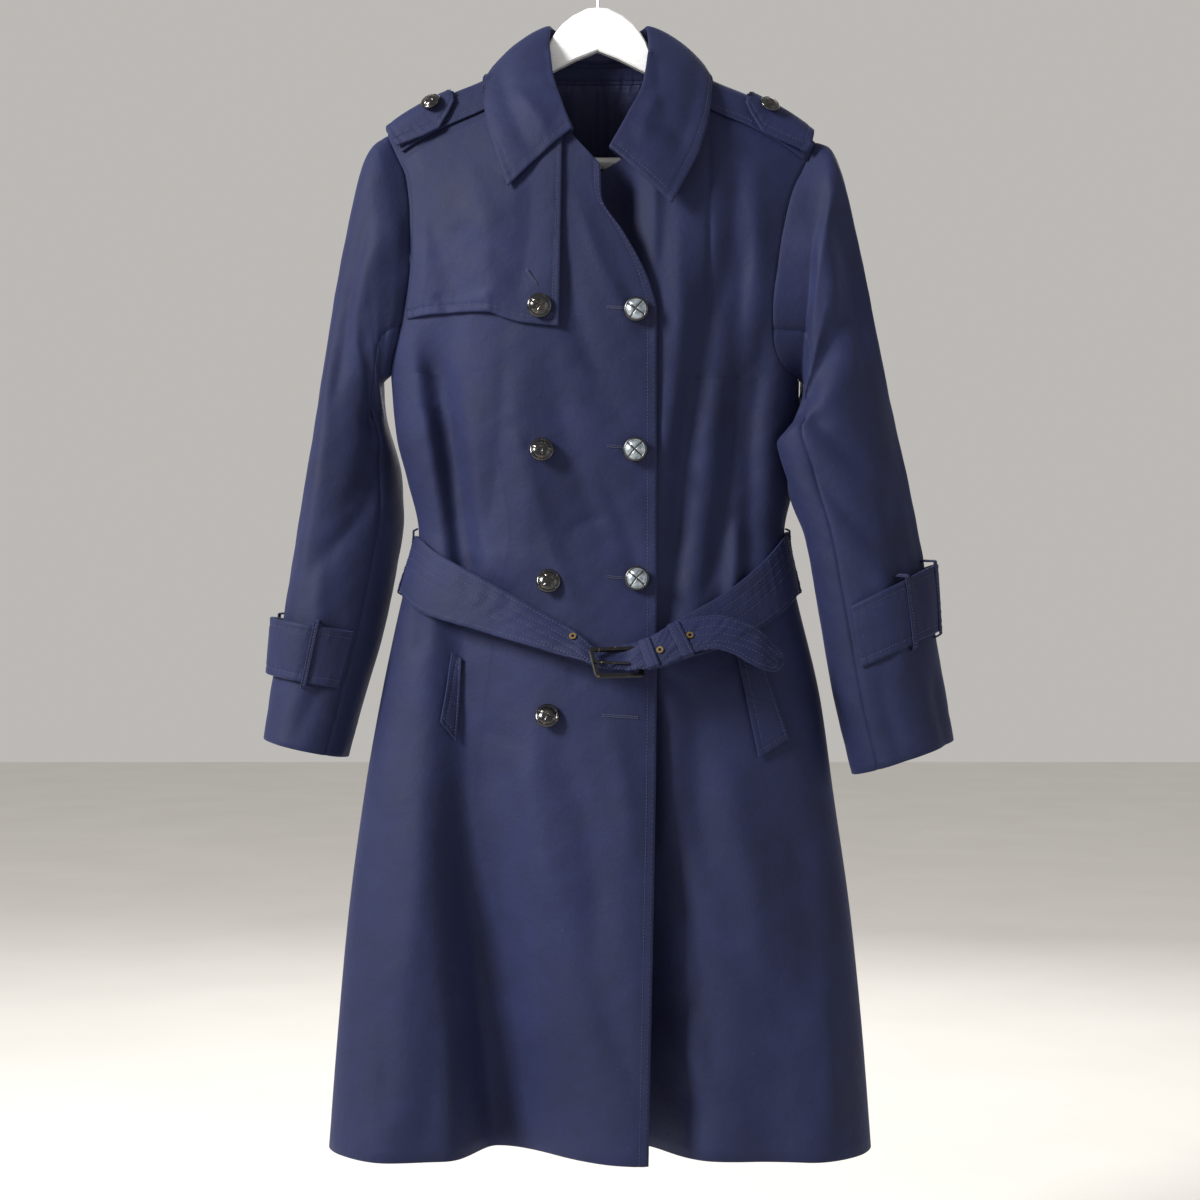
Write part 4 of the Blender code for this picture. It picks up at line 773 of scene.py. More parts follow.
def pucker(points, seams, seed=0.0):
    """How far rows of stitching pull the cloth in: a groove along each, with small gathers."""
    sunk = np.zeros(points.shape[:2])
    for edge, reach, amount in seams:
        far = edge_reach(points, edge)
        other = "top" if edge in ("first", "last") else "first"
        run = edge_reach(points, other)
        sunk = sunk + 0.42 * amount * np.exp(-(((far - reach) / GROOVE_HALF) ** 2))
        wave = np.sin(run * 2 * np.pi / GATHERS[0] + 1.9 * np.sin(run / 14 + seed) + seed)
        wave = wave + 0.6 * np.sin(run * 2 * np.pi / GATHERS[1] + 2.3 * np.sin(run / 9 + seed * 2))
        strength = 0.55 + 0.45 * np.sin(run / 38 + seed * 3) * np.sin(run / 17 + seed)
        near = np.exp(-(((far - reach) / GATHER_HALF) ** 2))
        sunk = sunk + 0.20 * amount * wave * strength * near
    return sunk


def declare(face):
    """Works out the size and the area that the piece's one face was cut to, and does nothing with them."""
    width = np.linalg.norm(np.diff(face, axis=0), axis=-1).sum(axis=0).max()
    length = np.linalg.norm(np.diff(face, axis=1), axis=-1).sum(axis=1).max()
    if min(width, length) < NARROWEST:
        return
    one, other = face[1:, 1:] - face[:-1, :-1], face[:-1, 1:] - face[1:, :-1]
    area = np.linalg.norm(np.cross(one, other), axis=-1).sum() / 2
    width, length = np.ceil(width), np.ceil(length)
    area = min(area, width * length)


def cloth(node, points, toward, wall=CLOTH, rise=0.0, seams=(), seed=0.0,
          look="cloth", extra=0.0):
    """A node's cloth as a thin shell: a grid's outer face, its copy one wall further in and a round rim.

    rise is how far the face stands off the grid, and extra how far each of its points sinks.
    """
    normals = grid_normals(points, toward)
    face = points + normals * rise
    sunk = pucker(face, seams, seed) + extra
    face = face - normals * sunk[..., None]
    normals = grid_normals(face, toward)
    inner = face - normals * wall
    rows, columns = points.shape[:2]
    count = rows * columns
    index = np.arange(count).reshape(rows, columns)
    quads = np.stack([index[:-1, :-1], index[1:, :-1], index[1:, 1:], index[:-1, 1:]], -1).reshape(-1, 4)
    rim = np.array([*index[:, 0], *index[-1, 1:], *index[-2::-1, -1], *index[0, -2:0:-1]])
    after = np.roll(rim, -1)
    flat_face, flat_in = face.reshape(-1, 3), inner.reshape(-1, 3)
    middle = (flat_face[rim] + flat_in[rim]) / 2
    outward = unit(np.cross(flat_face[after] - flat_face[np.roll(rim, 1)], flat_face[rim] - flat_in[rim]))
    beside = flat_face[rim] - np.concatenate(
        [face[:, 1], face[-2, 1:], face[-2::-1, -2], face[1, -2:0:-1]])
    outward = outward * np.sign(np.sum(outward * beside, -1, keepdims=True) + 1e-12)
    middle = middle + outward * wall * RIM_ROUND
    mids = 2 * count + np.arange(len(rim))
    after_mids = np.roll(mids, -1)
    sides = np.concatenate([
        np.stack([after, rim, mids, after_mids], -1),
        np.stack([after_mids, mids, rim + count, after + count], -1),
    ])
    faces = np.concatenate([quads, quads[:, ::-1] + count, sides])
    every = np.concatenate([flat_face, flat_in, middle])
    a, b, c = (flat_face[quads[len(quads) // 2, k]] for k in range(3))
    if np.dot(np.cross(b - a, c - a), normals.reshape(-1, 3)[quads[len(quads) // 2, 0]]) < 0:
        faces = faces[:, ::-1]
    piece = mesh_object(f"{node}_cloth", every, faces)
    s, t = edge_reach(face, "first").ravel(), edge_reach(face, "top").ravel()
    cut = np.stack([np.concatenate([s, s, s[rim]]), np.concatenate([t, t, t[rim]])], -1) * MM
    set_cut(piece, cut)
    finish_piece(piece, MATERIALS[look], node)
    declare(face)
    return piece, face, normals


def smooth_line(values, times):
    """Rows of values read between by a curve through them, times as many."""
    values = np.asarray(values, float)
    at = np.linspace(0, len(values) - 1, (len(values) - 1) * times + 1)
    i = np.clip(at.astype(int), 0, len(values) - 2)
    t = (at - i).reshape((-1,) + (1,) * (values.ndim - 1))
    padded = np.concatenate([values[:1] * 2 - values[1:2], values, values[-1:] * 2 - values[-2:-1]])
    p0, p1, p2, p3 = (padded[i + k] for k in range(4))
    return 0.5 * (2 * p1 + (p2 - p0) * t + (2 * p0 - 5 * p1 + 4 * p2 - p3) * t**2
                  + (3 * p1 - p0 - 3 * p2 + p3) * t**3)


def finer(grid, across, along):
    """A grid read between its rows and its columns by smooth curves."""
    grid = smooth_line(grid, across) if across > 1 else grid
    return smooth_line(grid.swapaxes(0, 1), along).swapaxes(0, 1) if along > 1 else grid


# Materials ------------------------------------------------------------------------------------


class Nodes:
    """A short way to write a material's nodes."""

    def __init__(self, name):
        self.material = bpy.data.materials.new(name)
        self.material.use_nodes = True
        self.tree = self.material.node_tree
        self.shader = self.tree.nodes["Principled BSDF"]

    def add(self, kind, links=None, **settings):
        node = self.tree.nodes.new(f"ShaderNode{kind}")
        for key, value in settings.items():
            if hasattr(node, key):
                setattr(node, key, value)
            else:
                node.inputs[key.replace("_", " ").title()].default_value = value
        for socket, source in (links or {}).items():
            self.tree.links.new(source, node.inputs[socket])
        return node

    def feed(self, socket, value):
        """Sets a socket to a number or a colour, or links it to another node's output."""
        if isinstance(value, (int, float)):
            socket.default_value = value
        elif isinstance(value, tuple):
            socket.default_value = (*value, 1)
        else:
            self.tree.links.new(value, socket)

    def math(self, operation, a, b=0.0):
        node = self.add("Math", operation=operation)
        self.feed(node.inputs[0], a)
        self.feed(node.inputs[1], b)
        return node.outputs[0]

    def ramp(self, source, stops):
        node = self.add("ValToRGB", {"Fac": source})
        elements = node.color_ramp.elements
        while len(elements) < len(stops):
            elements.new(0.5)
        for element, (place, colour) in zip(elements, stops):
            element.position = place
            element.color = (*colour, 1) if isinstance(colour, tuple) else (colour, colour, colour, 1)
        return node.outputs["Color"]

    def noise(self, vector, scale, detail=3.0, roughness=0.55):
        node = self.add("TexNoise", {"Vector": vector}, scale=scale, detail=detail, roughness=roughness)
        return node.outputs[0]

    def mix(self, factor, a, b):
        """Two colours mixed. A colour mix has its factor and colours in sockets 0, 6 and 7."""
        node = self.add("Mix", data_type="RGBA")
        for socket, value in ((0, factor), (6, a), (7, b)):
            self.feed(node.inputs[socket], value)
        return node.outputs[2]

    def bump(self, height, distance, strength=1.0, normal=None):
        node = self.add("Bump", {"Height": height}, strength=strength, distance=distance)
        if normal is not None:
            self.tree.links.new(normal, node.inputs["Normal"])
        return node.outputs[0]

    def out(self, **sockets):
        for name, value in sockets.items():
            self.feed(self.shader.inputs[name.replace("_", " ")], value)
        return self.material


TWILL_RIB = 0.0011  # metres from rib to rib
TWILL_YARN = 0.0009


def cloth_material(name, base, dark, light, sheen=0.08, rough=0.70):
    """Tightly woven cotton twill: diagonal ribs, slow shade changes, faint lint and small crumples."""
    n = Nodes(name)
    place = n.add("TexCoord").outputs["Object"]
    cut = n.add("UVMap", uv_map="cut").outputs[0]
    parts = n.add("SeparateXYZ", {"Vector": cut})
    s, t = parts.outputs[0], parts.outputs[1]
    slow = n.noise(place, 9.0, 3.0)
    patch = n.noise(place, 42.0, 4.0, 0.6)
    grain = n.noise(place, 900.0, 2.0)
    colour = n.ramp(slow, [(0.30, dark), (0.52, base), (0.74, light)])
    colour = n.mix(0.30, colour, n.ramp(patch, [(0.35, dark), (0.65, light)]))
    colour = n.mix(0.22, colour, n.ramp(grain, [(0.3, dark), (0.7, light)]))
    rib = n.math("MULTIPLY", n.math("ADD", s, t), 2 * np.pi / TWILL_RIB)
    rib = n.math("ADD", n.math("MULTIPLY", n.math("SINE", rib), 0.5), 0.5)
    across = n.math("MULTIPLY", n.math("SUBTRACT", s, t), 2 * np.pi / TWILL_YARN)
    yarn = n.math("ADD", n.math("MULTIPLY", n.math("SINE", across), 0.5), 0.5)
    weave = n.math("ADD", n.math("MULTIPLY", rib, 0.7), n.math("MULTIPLY", yarn, 0.3))
    colour = n.mix(n.math("MULTIPLY", weave, 0.16), colour, light)
    lint = n.add("TexVoronoi", {"Vector": place}, scale=310.0).outputs["Distance"]
    chosen = n.ramp(n.noise(place, 95.0, 2.0), [(0.66, 0.0), (0.70, 1.0)])
    fleck = n.math("MULTIPLY", n.ramp(lint, [(0.10, 1.0), (0.16, 0.0)]), chosen)
    colour = n.mix(n.math("MULTIPLY", fleck, 0.25), colour, (0.10, 0.12, 0.20))
    crumple = n.noise(place, 55.0, 5.0, 0.62)
    fine = n.noise(place, 210.0, 3.0, 0.6)
    normal = n.bump(weave, 0.00012, 0.5)
    normal = n.bump(fine, 0.0004, 0.35, normal)
    normal = n.bump(crumple, 0.0022, 0.45, normal)
    roughness = n.math("ADD", n.math("MULTIPLY", patch, 0.16), rough - 0.08)
    n.out(Base_Color=colour, Roughness=roughness, Normal=normal, Sheen_Weight=sheen, Sheen_Roughness=0.45,
          Sheen_Tint=(0.42, 0.52, 1.0), Specular_IOR_Level=0.22)
    return n.material


def thread_material():
    """Twisted sewing thread, a little lighter than the cloth."""
    n = Nodes("thread")
    place = n.add("TexCoord").outputs["Object"]
    twist = n.noise(place, 1400.0, 2.0)
    colour = n.ramp(twist, [(0.3, (0.009, 0.012, 0.038)), (0.7, (0.026, 0.031, 0.085))])
    return n.out(Base_Color=colour, Roughness=0.55, Normal=n.bump(twist, 0.0002, 0.6), Sheen_Weight=0.1)


def crossed_grooves(n, width):
    """One near the crossed grooves of a button's face, and one on its rim, by its own plan."""
    parts = n.add("SeparateXYZ", {"Vector": n.add("UVMap", uv_map="cut").outputs[0]})
    both = parts.outputs[:2]
    near = [n.ramp(n.math("MULTIPLY", n.math("ABSOLUTE", part), 100.0),
                   [(width * 0.06, 1.0), (width * 0.11, 0.0)]) for part in both]
    squares = [n.math("MULTIPLY", part, part) for part in both]
    reach = n.math("MULTIPLY", n.math("SQRT", n.math("ADD", *squares)), 80.0)
    return n.math("MAXIMUM", *near), n.ramp(reach, [(0.70, 0.0), (0.76, 1.0)])


def resin_material():
    """Black moulded buttons, whose grooves have rubbed through to a warm metal tone at their edges."""
    n = Nodes("button_resin_worn")
    place = n.add("TexCoord").outputs["Object"]
    wear = n.noise(place, 420.0, 5.0, 0.7)
    broad = n.noise(place, 90.0, 3.0)
    beside, _ = crossed_grooves(n, 2.2)
    groove, _ = crossed_grooves(n, 0.9)
    spare = n.ramp(wear, [(0.66, 0.0), (0.70, 1.0)])
    spare = n.math("MULTIPLY", spare, n.ramp(broad, [(0.52, 0.0), (0.62, 1.0)]))
    along = n.math("MULTIPLY", beside, n.ramp(wear, [(0.56, 0.0), (0.62, 1.0)]))
    worn = n.math("MULTIPLY", n.math("MAXIMUM", spare, along), n.math("SUBTRACT", 1.0, groove))
    colour = n.mix(n.math("MULTIPLY", worn, 0.8), (0.003, 0.003, 0.0045), (0.24, 0.165, 0.075))
    roughness = n.math("ADD", n.math("MULTIPLY", wear, 0.18), 0.08)
    return n.out(Base_Color=colour, Roughness=roughness, Metallic=n.math("MULTIPLY", worn, 0.8),
                 Normal=n.bump(wear, 0.0003, 0.5), Coat_Weight=0.4, Coat_Roughness=0.1,
                 Specular_IOR_Level=0.4)


def reflection_painted_button_material():
    """The same black buttons as the others, with the light's reflection painted into their colour: a
    smoke-grey to pale grey, brushed, metallic dome, with black grooves and a black rim.
    """
    n = Nodes("button_resin_painted_reflection")
    place = n.add("TexCoord").outputs["Object"]
    broad = n.noise(place, 160.0, 4.0, 0.6)
    fine = n.noise(place, 700.0, 3.0)
    groove, rim = crossed_grooves(n, 1.0)
    # painted reflection: the pale grey of the dome stands for the light reflected in black resin
    colour = n.ramp(broad, [(0.3, (0.10, 0.125, 0.15)), (0.7, (0.36, 0.41, 0.45))])
    colour = n.mix(n.math("MAXIMUM", groove, rim), colour, (0.004, 0.004, 0.005))
    metal = n.math("MULTIPLY", n.math("SUBTRACT", 1.0, n.math("MAXIMUM", groove, rim)), 0.75)
    roughness = n.math("ADD", n.math("MULTIPLY", fine, 0.2), 0.24)
    return n.out(Base_Color=colour, Roughness=roughness, Metallic=metal,
                 Normal=n.bump(broad, 0.0008, 0.4), Coat_Weight=0.15, Coat_Roughness=0.2)


def metal_material(name, dark, light, worn, wear_at, rough, metallic=1.0):
    """Cast or drawn metal: a dull tone, rubbed bright in places."""
    n = Nodes(name)
    place = n.add("TexCoord").outputs["Object"]
    broad = n.noise(place, 160.0, 4.0, 0.65)
    fine = n.noise(place, 1300.0, 3.0)
    colour = n.ramp(fine, [(0.3, dark), (0.7, light)])
    colour = n.mix(n.ramp(broad, [(wear_at, 0.0), (wear_at + 0.05, 1.0)]), colour, worn)
    return n.out(Base_Color=colour, Roughness=n.math("ADD", n.math("MULTIPLY", broad, 0.25), rough - 0.1),
                 Metallic=metallic, Normal=n.bump(fine, 0.0002, 0.35))


def wood_material():
    """Satin white paint over wood, with faint grain and a few scuffs."""
    n = Nodes("white_wood_painted")
    place = n.add("TexCoord").outputs["Object"]
    stretched = n.add("Mapping", {"Vector": place}, vector_type="POINT")
    stretched.inputs["Scale"].default_value = (1.0, 6.0, 9.0)
    grain = n.noise(stretched.outputs[0], 60.0, 4.0)
    spots = n.noise(place, 300.0, 3.0)
    colour = n.ramp(grain, [(0.3, (0.60, 0.61, 0.63)), (0.7, (0.70, 0.71, 0.72))])
    return n.out(Base_Color=colour, Roughness=n.math("ADD", n.math("MULTIPLY", spots, 0.15), 0.28),
                 Normal=n.bump(grain, 0.0003, 0.25), Coat_Weight=0.2, Coat_Roughness=0.25)


NAVY = (0.0052, 0.0080, 0.0350)
NAVY_DARK = (0.0030, 0.0048, 0.0225)
NAVY_LIGHT = (0.0098, 0.0142, 0.0570)
MATERIALS = {
    "cloth": cloth_material("coat_twill", NAVY, NAVY_DARK, NAVY_LIGHT),
    "lining": cloth_material("coat_lining", (0.0080, 0.0110, 0.0400), (0.0050, 0.0070, 0.0270),
                             (0.0130, 0.0175, 0.0580), 0.08, 0.55),
    "thread": thread_material(),
    "resin": resin_material(),
    # painted reflection: the buttons that face the light are coloured pale grey in place of their black
    "painted_reflection": reflection_painted_button_material(),
    "gunmetal": metal_material("gunmetal_worn", (0.016, 0.016, 0.018), (0.040, 0.040, 0.044),
                               (0.42, 0.30, 0.14), 0.64, 0.34, 0.85),
    "brass": metal_material("brass_aged", (0.17, 0.115, 0.05), (0.30, 0.21, 0.09),
                            (0.06, 0.05, 0.04), 0.58, 0.40),
    "wood": wood_material(),
    "steel": metal_material("hook_wire", (0.42, 0.42, 0.44), (0.58, 0.58, 0.60),
                            (0.30, 0.30, 0.31), 0.66, 0.28),
}


def belt_across(strip, x):
    """The three points across the strip at x."""
    order = np.argsort(strip[:, 1, 0])
    return np.array([[np.interp(x, strip[order, 1, 0], strip[order, row, k]) for k in range(3)]
                     for row in range(3)])


def rounded_box(wide, high, radius, steps=3):
    """The outline of a rectangle with round corners."""
    corners = []
    for quarter, (sx, sy) in enumerate(((1, 1), (-1, 1), (-1, -1), (1, -1))):
        for k in range(steps + 1):
            turn = (quarter + k / steps) * np.pi / 2
            corners.append((sx * (wide / 2 - radius) + radius * np.cos(turn),
                            sy * (high / 2 - radius) + radius * np.sin(turn)))
    return np.array(corners)


def cuff_point(grid, ring, turn):
    """A point of the sleeve by ring and by how far round it is, both with fractions."""
    sides, rings = grid.shape[:2]
    i, j = int(np.floor(turn)), min(int(ring), rings - 2)
    s, t = turn - i, ring - j
    rows = [grid[k % sides, j] * (1 - t) + grid[k % sides, j + 1] * t for k in (i, i + 1)]
    return rows[0] * (1 - s) + rows[1] * s


def cuff_patch(grid, turns, rings):
    """Points and outward normals of part of the sleeve."""
    points = np.array([[cuff_point(grid, r, t) for r in row] for t, row in zip(turns, rings)])
    heart = np.array([grid[:, j].mean(axis=0) for j in range(grid.shape[1])])
    stations = np.arange(len(heart))
    inside = np.stack([np.interp(rings, stations, heart[:, k]) for k in range(3)], -1)
    return points, grid_normals(points, unit(points - inside))


# The coat's body and sleeves --------------------------------------------------------------------


def build_body():
    """The two fronts and the back."""
    right = panel(
        front_y, (0, 0.125, 0.25, 0.4375, 0.625, 0.8125, 1), (2, -25, -46, -62, -108, -155, -199.5),
        (233.6, 204, 172, 119, 146.5, 166.8, 196),
        lambda down: read(FRONT_EDGE, "x", down), "right", "front", FRONT_STEPS,
    )
    left = panel(
        under_y, (0, 0.25, 0.375, 0.5625, 0.75, 0.875, 1), (-40, 22, 40, 62, 108, 155, 206),
        (262, 226, 186, 119, 146.5, 166.8, 202),
        lambda down: read(UNDERLAP_EDGE, "x", down), "left", "front", FRONT_STEPS,
    )
    halves = [
        panel(
            rear_y, (0, 0.2, 0.3, 0.5, 0.8, 1), (0, sign * 44, sign * 62, sign * 108, sign * 155, tip),
            (124, 121, 119, 146.5, 166.8, tip_down),
            lambda down: 0 * down, side, "back", BACK_STEPS // 2,
        )
        for side, sign, tip, tip_down in (("right", -1, -199.5, 196), ("left", 1, 206, 202))
    ]
    halves[1][0] = halves[0][0] = (halves[0][0] + halves[1][0]) / 2
    back = np.concatenate([halves[0][::-1], halves[1][1:]])
    hem = [("foot", 24, 0.8)]
    grids = {"front_right": right, "front_left": left, "back": back}
    made = {}
    for name, toward, seams in (
        ("front_right", (0, -1, 0), [("first", 8, 1.0), *hem]),
        ("front_left", (0, -1, 0), hem),
        ("back", (0, 1, 0), hem),
    ):
        made[name] = cloth(name, grids[name], toward, seams=seams, seed=len(made) + 1.0)
    sew(made["front_right"], "first", 8.0, (0.02, 1.0))
    sew(made["front_right"], "first", 2.2, pitch=4.6, length=2.4, radius=0.22)
    return grids


def build_sleeves():
    """Each sleeve in two pieces, drawn between rings by smooth lines along its length."""
    grids, count_made = {}, 0
    for side in ("right", "left"):
        rings = sleeve_rings(side)
        count = rings.shape[1]
        at = np.linspace(0, count - 1, (count - 1) * RING_STEPS + 1)
        stations = np.arange(count, dtype=float)
        grid = np.empty((rings.shape[0], len(at), 3))
        for k in range(3):
            for i in range(rings.shape[0]):
                grid[i, :, k] = monotone(stations, rings[i, :, k], at)
        toward = unit(grid - grid.mean(axis=0))
        normals = grid_normals(grid, toward, ring=True)
        turn = (np.arange(SLEEVE_SIDES) * 360 / SLEEVE_SIDES)[:, None] + 0 * at
        turn = np.where(turn > 180, turn - 360, turn)
        down = -grid[..., 2]
        keep = ease(at / 0.8)
        sunk = keep * (creases(SLEEVE_CREASES[side], turn, down, TURN_SCALE) + 0.5 * ripples(turn, down))
        grid = grid - normals * sunk[..., None]
        grids[side] = grid
        low, high = UNDER_SLEEVE
        under = np.arange(low, high + 1)
        upper = np.arange(high, low + SLEEVE_SIDES + 1) % SLEEVE_SIDES
        seams = [("foot", 26, 0.8), ("first", 0, 1.6), ("last", 0, 1.6), ("top", 0, 1.6)]
        for part, order in (("upper", upper), ("under", under)):
            cloth(f"sleeve_{side}_{part}", grid[order], toward[order], seams=seams,
                  seed=3.0 + 0.7 * count_made)
            count_made += 1
    return grids


# What lies on the panels ------------------------------------------------------------------------


def shoulder_strip(node, xs, along, rise, wall, seams, seed):
    """A strap over the shoulder, by the distance of its points along the cloth from the ridge."""
    x = xs[:, None] + 0 * along
    side = "left" if xs[-1] > 0 else "right"
    edges = armhole(side, "front"), armhole(side, "back")
    down = -over_shoulder(x, along)[..., 2]
    reach = [np.interp(down, -seam[:, 2], np.abs(seam[:, 0])) for seam in edges]
    limit = np.where(along > 0, *reach) - 3.0
    last = np.minimum(np.abs(x[-1]), limit[-1])
    x = x[0] + (x - x[0]) * (last - np.abs(x[0])) / (np.abs(x[-1]) - np.abs(x[0]))
    points = over_shoulder(x, along)
    return cloth(node, points, (0, 0, 1), wall, rise + wall, seams, seed=seed)


# Half the epaulette's width and the middle of it, by the distance from its pointed end.
EPAULETTE = table(
    "reach half centre", (0, 3, 13), (5, 12, 13.5), (15, 24, 14), (32, 24, 13), (47, 23.5, 10), (61, 22, 7),
)
EPAULETTE_START = {"right": 135, "left": 139}


def build_shoulders():
    """The stitched yoke and the epaulette on each shoulder."""
    for side, sign in (("right", -1), ("left", 1)):
        xs = sign * np.linspace(66, 196, 66)
        along = np.linspace(-37, 37, 41) + 0 * xs[:, None]
        edges = [("top", 5.5, 1.1), ("foot", 5.5, 1.1)]
        made = shoulder_strip(f"shoulder_yoke_{side}", xs, along, YOKE_REST, CLOTH, edges, sign + 6.0)
        for edge, reach, _ in edges:
            sew(made, edge, reach, (0.03, 0.98))
        place = np.concatenate([np.linspace(0, 15, 12), np.linspace(16.5, 61, 30)])
        half, centre = (np.interp(place, EPAULETTE["reach"], EPAULETTE[name]) for name in ("half", "centre"))
        xs = sign * (EPAULETTE_START[side] + place)
        along = centre[:, None] + np.outer(half, np.linspace(-1, 1, 33))
        edges = [("top", 6.5, 1.2), ("foot", 6.5, 1.2), ("last", 6.0, 1.0)]
        made = shoulder_strip(f"epaulette_{side}", xs, along, YOKE_REST + CLOTH + 2.3, STRAP_WALL, edges,
                              sign + 9.0)
        for edge, reach, _ in edges:
            sew(made, edge, reach, (0.14, 0.86) if edge == "last" else (0.22, 0.9))


def build_flap():
    """The storm flap over the right front."""
    seam = armhole("right", "front")
    across = np.linspace(0, 1, 75)
    foot_x = FLAP_EDGE_X - 3 + (FLAP_SEAM_X[1] - FLAP_EDGE_X + 3) * across
    foot_down = read(FLAP_FOOT, "down", foot_x)
    top_x = FLAP_EDGE_X + (FLAP_SEAM_X[0] - FLAP_EDGE_X) * across
    top_down = np.where(top_x > -62, np.interp(-top_x, (33, 62), (206, 150)), ridge(top_x) + 40)
    part = np.linspace(0, 1, 97)
    x = top_x[:, None] + np.outer(foot_x - top_x, part)
    down = top_down[:, None] + np.outer(foot_down - top_down, part)
    limit = np.interp(down, -seam[:, 2], seam[:, 0]) + 3.0
    last = np.maximum(x[-1], limit[-1])
    x = x[0] + (x - x[0]) * (last - x[0]) / (x[-1] - x[0])
    points = at_surface(overlap_y, x, down)
    own = creases(FLAP_CREASES, x, down) + 0.5 * ripples(x, down)
    own = own * ease((down - ridge(x) - 46) / 40)
    own = own + 3.0 * (1 - ease(edge_reach(points, "last") / 18))
    seams = [("first", 6.5, 1.3), ("foot", 6.5, 1.9)]
    made = cloth("storm_flap", points, (0, -1, 0), CLOTH, FLAP_REST + CLOTH, seams, seed=2.4,
                 extra=own - 0.8)
    sew(made, "first", 6.5, (0.05, 0.93))
    sew(made, "foot", 6.5, (0.045, 0.99))


FLAP_CREASES = table(
    CREASE_COLUMNS,
    (-166, 240, -120, 372, -6, 13, 1.5, 1.8),
    (-120, 220, -96, 372, 6, 15, -1.3, 1.8),
    (-62, 230, -76, 372, 5, 13, 1.3, 1.8),
    (-150, 352, -136, 374, 2, 7, 1.2, 1.6),
    (-104, 350, -100, 374, 1, 8, -1.2, 1.6),
    (-150, 290, -80, 330, 8, 12, 0.9, 1.7),
)
COLLAR_CREASES = table(
    CREASE_COLUMNS,
    (-96, 120, -60, 226, -6, 10, 1.3, 1.8),
    (-80, 160, -44, 210, 4, 8, -1.1, 1.8),
    (96, 120, 70, 232, 6, 10, 1.2, 1.8),
    (60, 160, 40, 214, -4, 8, -1.1, 1.8),
    (34, 184, 84, 214, 4, 8, 0.9, 1.7),
)


def build_collar(grids):
    """The stand round the neck and the pointed fall over it."""
    part = np.linspace(0, 1, 141)
    roll, edge = (
        np.stack([read(COLLAR, f"{line}_x", part), read(COLLAR, f"{line}_y", part),
                  -read(COLLAR, f"{line}_down", part)], -1)
        for line in ("roll", "edge")
    )
    crown = read(COLLAR, "crown", part)
    across = np.concatenate([np.linspace(0, 0.14, 7), np.linspace(0.17, 1, 30)])
    points = roll[:, None] + (edge - roll)[:, None] * across[:, None]
    outward = unit(points - np.array((0, 0, -230.0)))
    hump = (4 * across * (1 - across)) ** 0.7
    points = clear_of_shoulder(points + outward * (crown[:, None] * hump)[..., None], COLLAR_CLEAR)
    own = creases(COLLAR_CREASES, points[..., 0], -points[..., 2]) * np.where(points[..., 1] < 0, 1, 0.4)
    own = own + 0.35 * ripples(points[..., 0], points[..., 2]) * ease(across * 3)
    seams = [("foot", 6.8, 1.3), ("first", 6.5, 1.2), ("last", 6.5, 1.2)]
    made = cloth("collar", points, outward, COLLAR_WALL, seams=seams, seed=5.2, extra=own)
    sew(made, "foot", 6.8, (0.045, 0.955))
    for edge_name in ("first", "last"):
        sew(made, edge_name, 6.5, (0.04, 0.9))
    seam, away = neck_seam(grids, part)
    foot = seam + unit(away + (0, 0, 0.4)) * 0.6
    top = roll - unit(roll - foot) * 1.2
    height = np.linspace(0, 1, 13)
    stand = foot[:, None] + (top - foot)[:, None] * height[:, None]
    outward = unit(stand * (1, 1, 0) + (0, -0.01, 0))
    _, face, normals = cloth("collar_stand", stand, outward, seams=[("top", 4.0, 1.0)], seed=1.2)
    for reach in (4.0, 11.0):
        line, out = line_at(face, normals, "top", reach, -CLOTH - THREAD_RISE)
        THREADS.append(stitches(line, -out))


def build_belt():
    """One strip: from the buckle's bar round the back, through the buckle and the keepers.

    Gives the rows of the part that lies over, for the keepers.
    """
    around = np.concatenate([
        (0.035, 0.08, 0.125, 0.165, 0.2, 0.24, 0.32), np.linspace(0.4, 1, 7),
        np.linspace(1.14, 2.86, 13), np.linspace(3, 3.9, 10),
    ])
    edges = []
    for name in ("top", "foot"):
        points, _ = place_around(around, read(BELT, name, around), read(BELT, f"{name}_off", around))
        edges.append(points)
    x = np.concatenate([np.linspace(-14, 148, 17), (160, 169)])
    for k, name in enumerate(("top", "foot")):
        end = np.stack([x, read(BELT_END, f"{name}_y", x), -read(BELT_END, name, x)], -1)
        edges[k] = np.concatenate([edges[k], end])
    coarse = np.stack([edges[0], (edges[0] + edges[1]) / 2, edges[1]], 1)
    lines = [smooth_line(edge, 9) for edge in edges]
    across = np.linspace(0, 1, 21)
    points = lines[0][:, None] * (1 - across)[:, None] + lines[1][:, None] * across[:, None]
    station = np.linspace(0, len(coarse) - 1, len(points))
    toward = points * (1, 1, 0)
    toward[station > len(around)] = (0, -1, 0)
    run = edge_reach(points, "first")
    width = edge_reach(points, "top")
    worn = np.clip((station - 30) / 4, 0, 1) * np.clip((49 - station) / 3, 0, 1)
    worn = worn + np.clip((station - 49) / 3, 0, 1) * 0.7
    worn = (worn + 0.22)[:, None]
    own = worn * 0.85 * np.sin(run / 3.4 + 2.2 * np.sin(width / 9 + run / 27) + 1.3 * np.sin(run / 13))
    own = own * np.sin(width / 40 * np.pi + 0.3) * 0.9 + 0.5 * worn * np.sin(run / 7.7 + width / 5)
    rows = (3.0, 11.5, 20.0, 28.5)
    seams = [("top", reach, 0.8) for reach in rows] + [("foot", 3.0, 0.8)]
    made = cloth("belt", points, toward, STRAP_WALL, STRAP_WALL, seams, seed=3.3, extra=own * 0.55)
    for edge, reach, _ in seams:
        sew(made, edge, reach, (0.002, 0.994), pitch=3.4)
    sew(made, "last", 3.0, (0.1, 0.9), pitch=3.4)
    return coarse[len(around):]


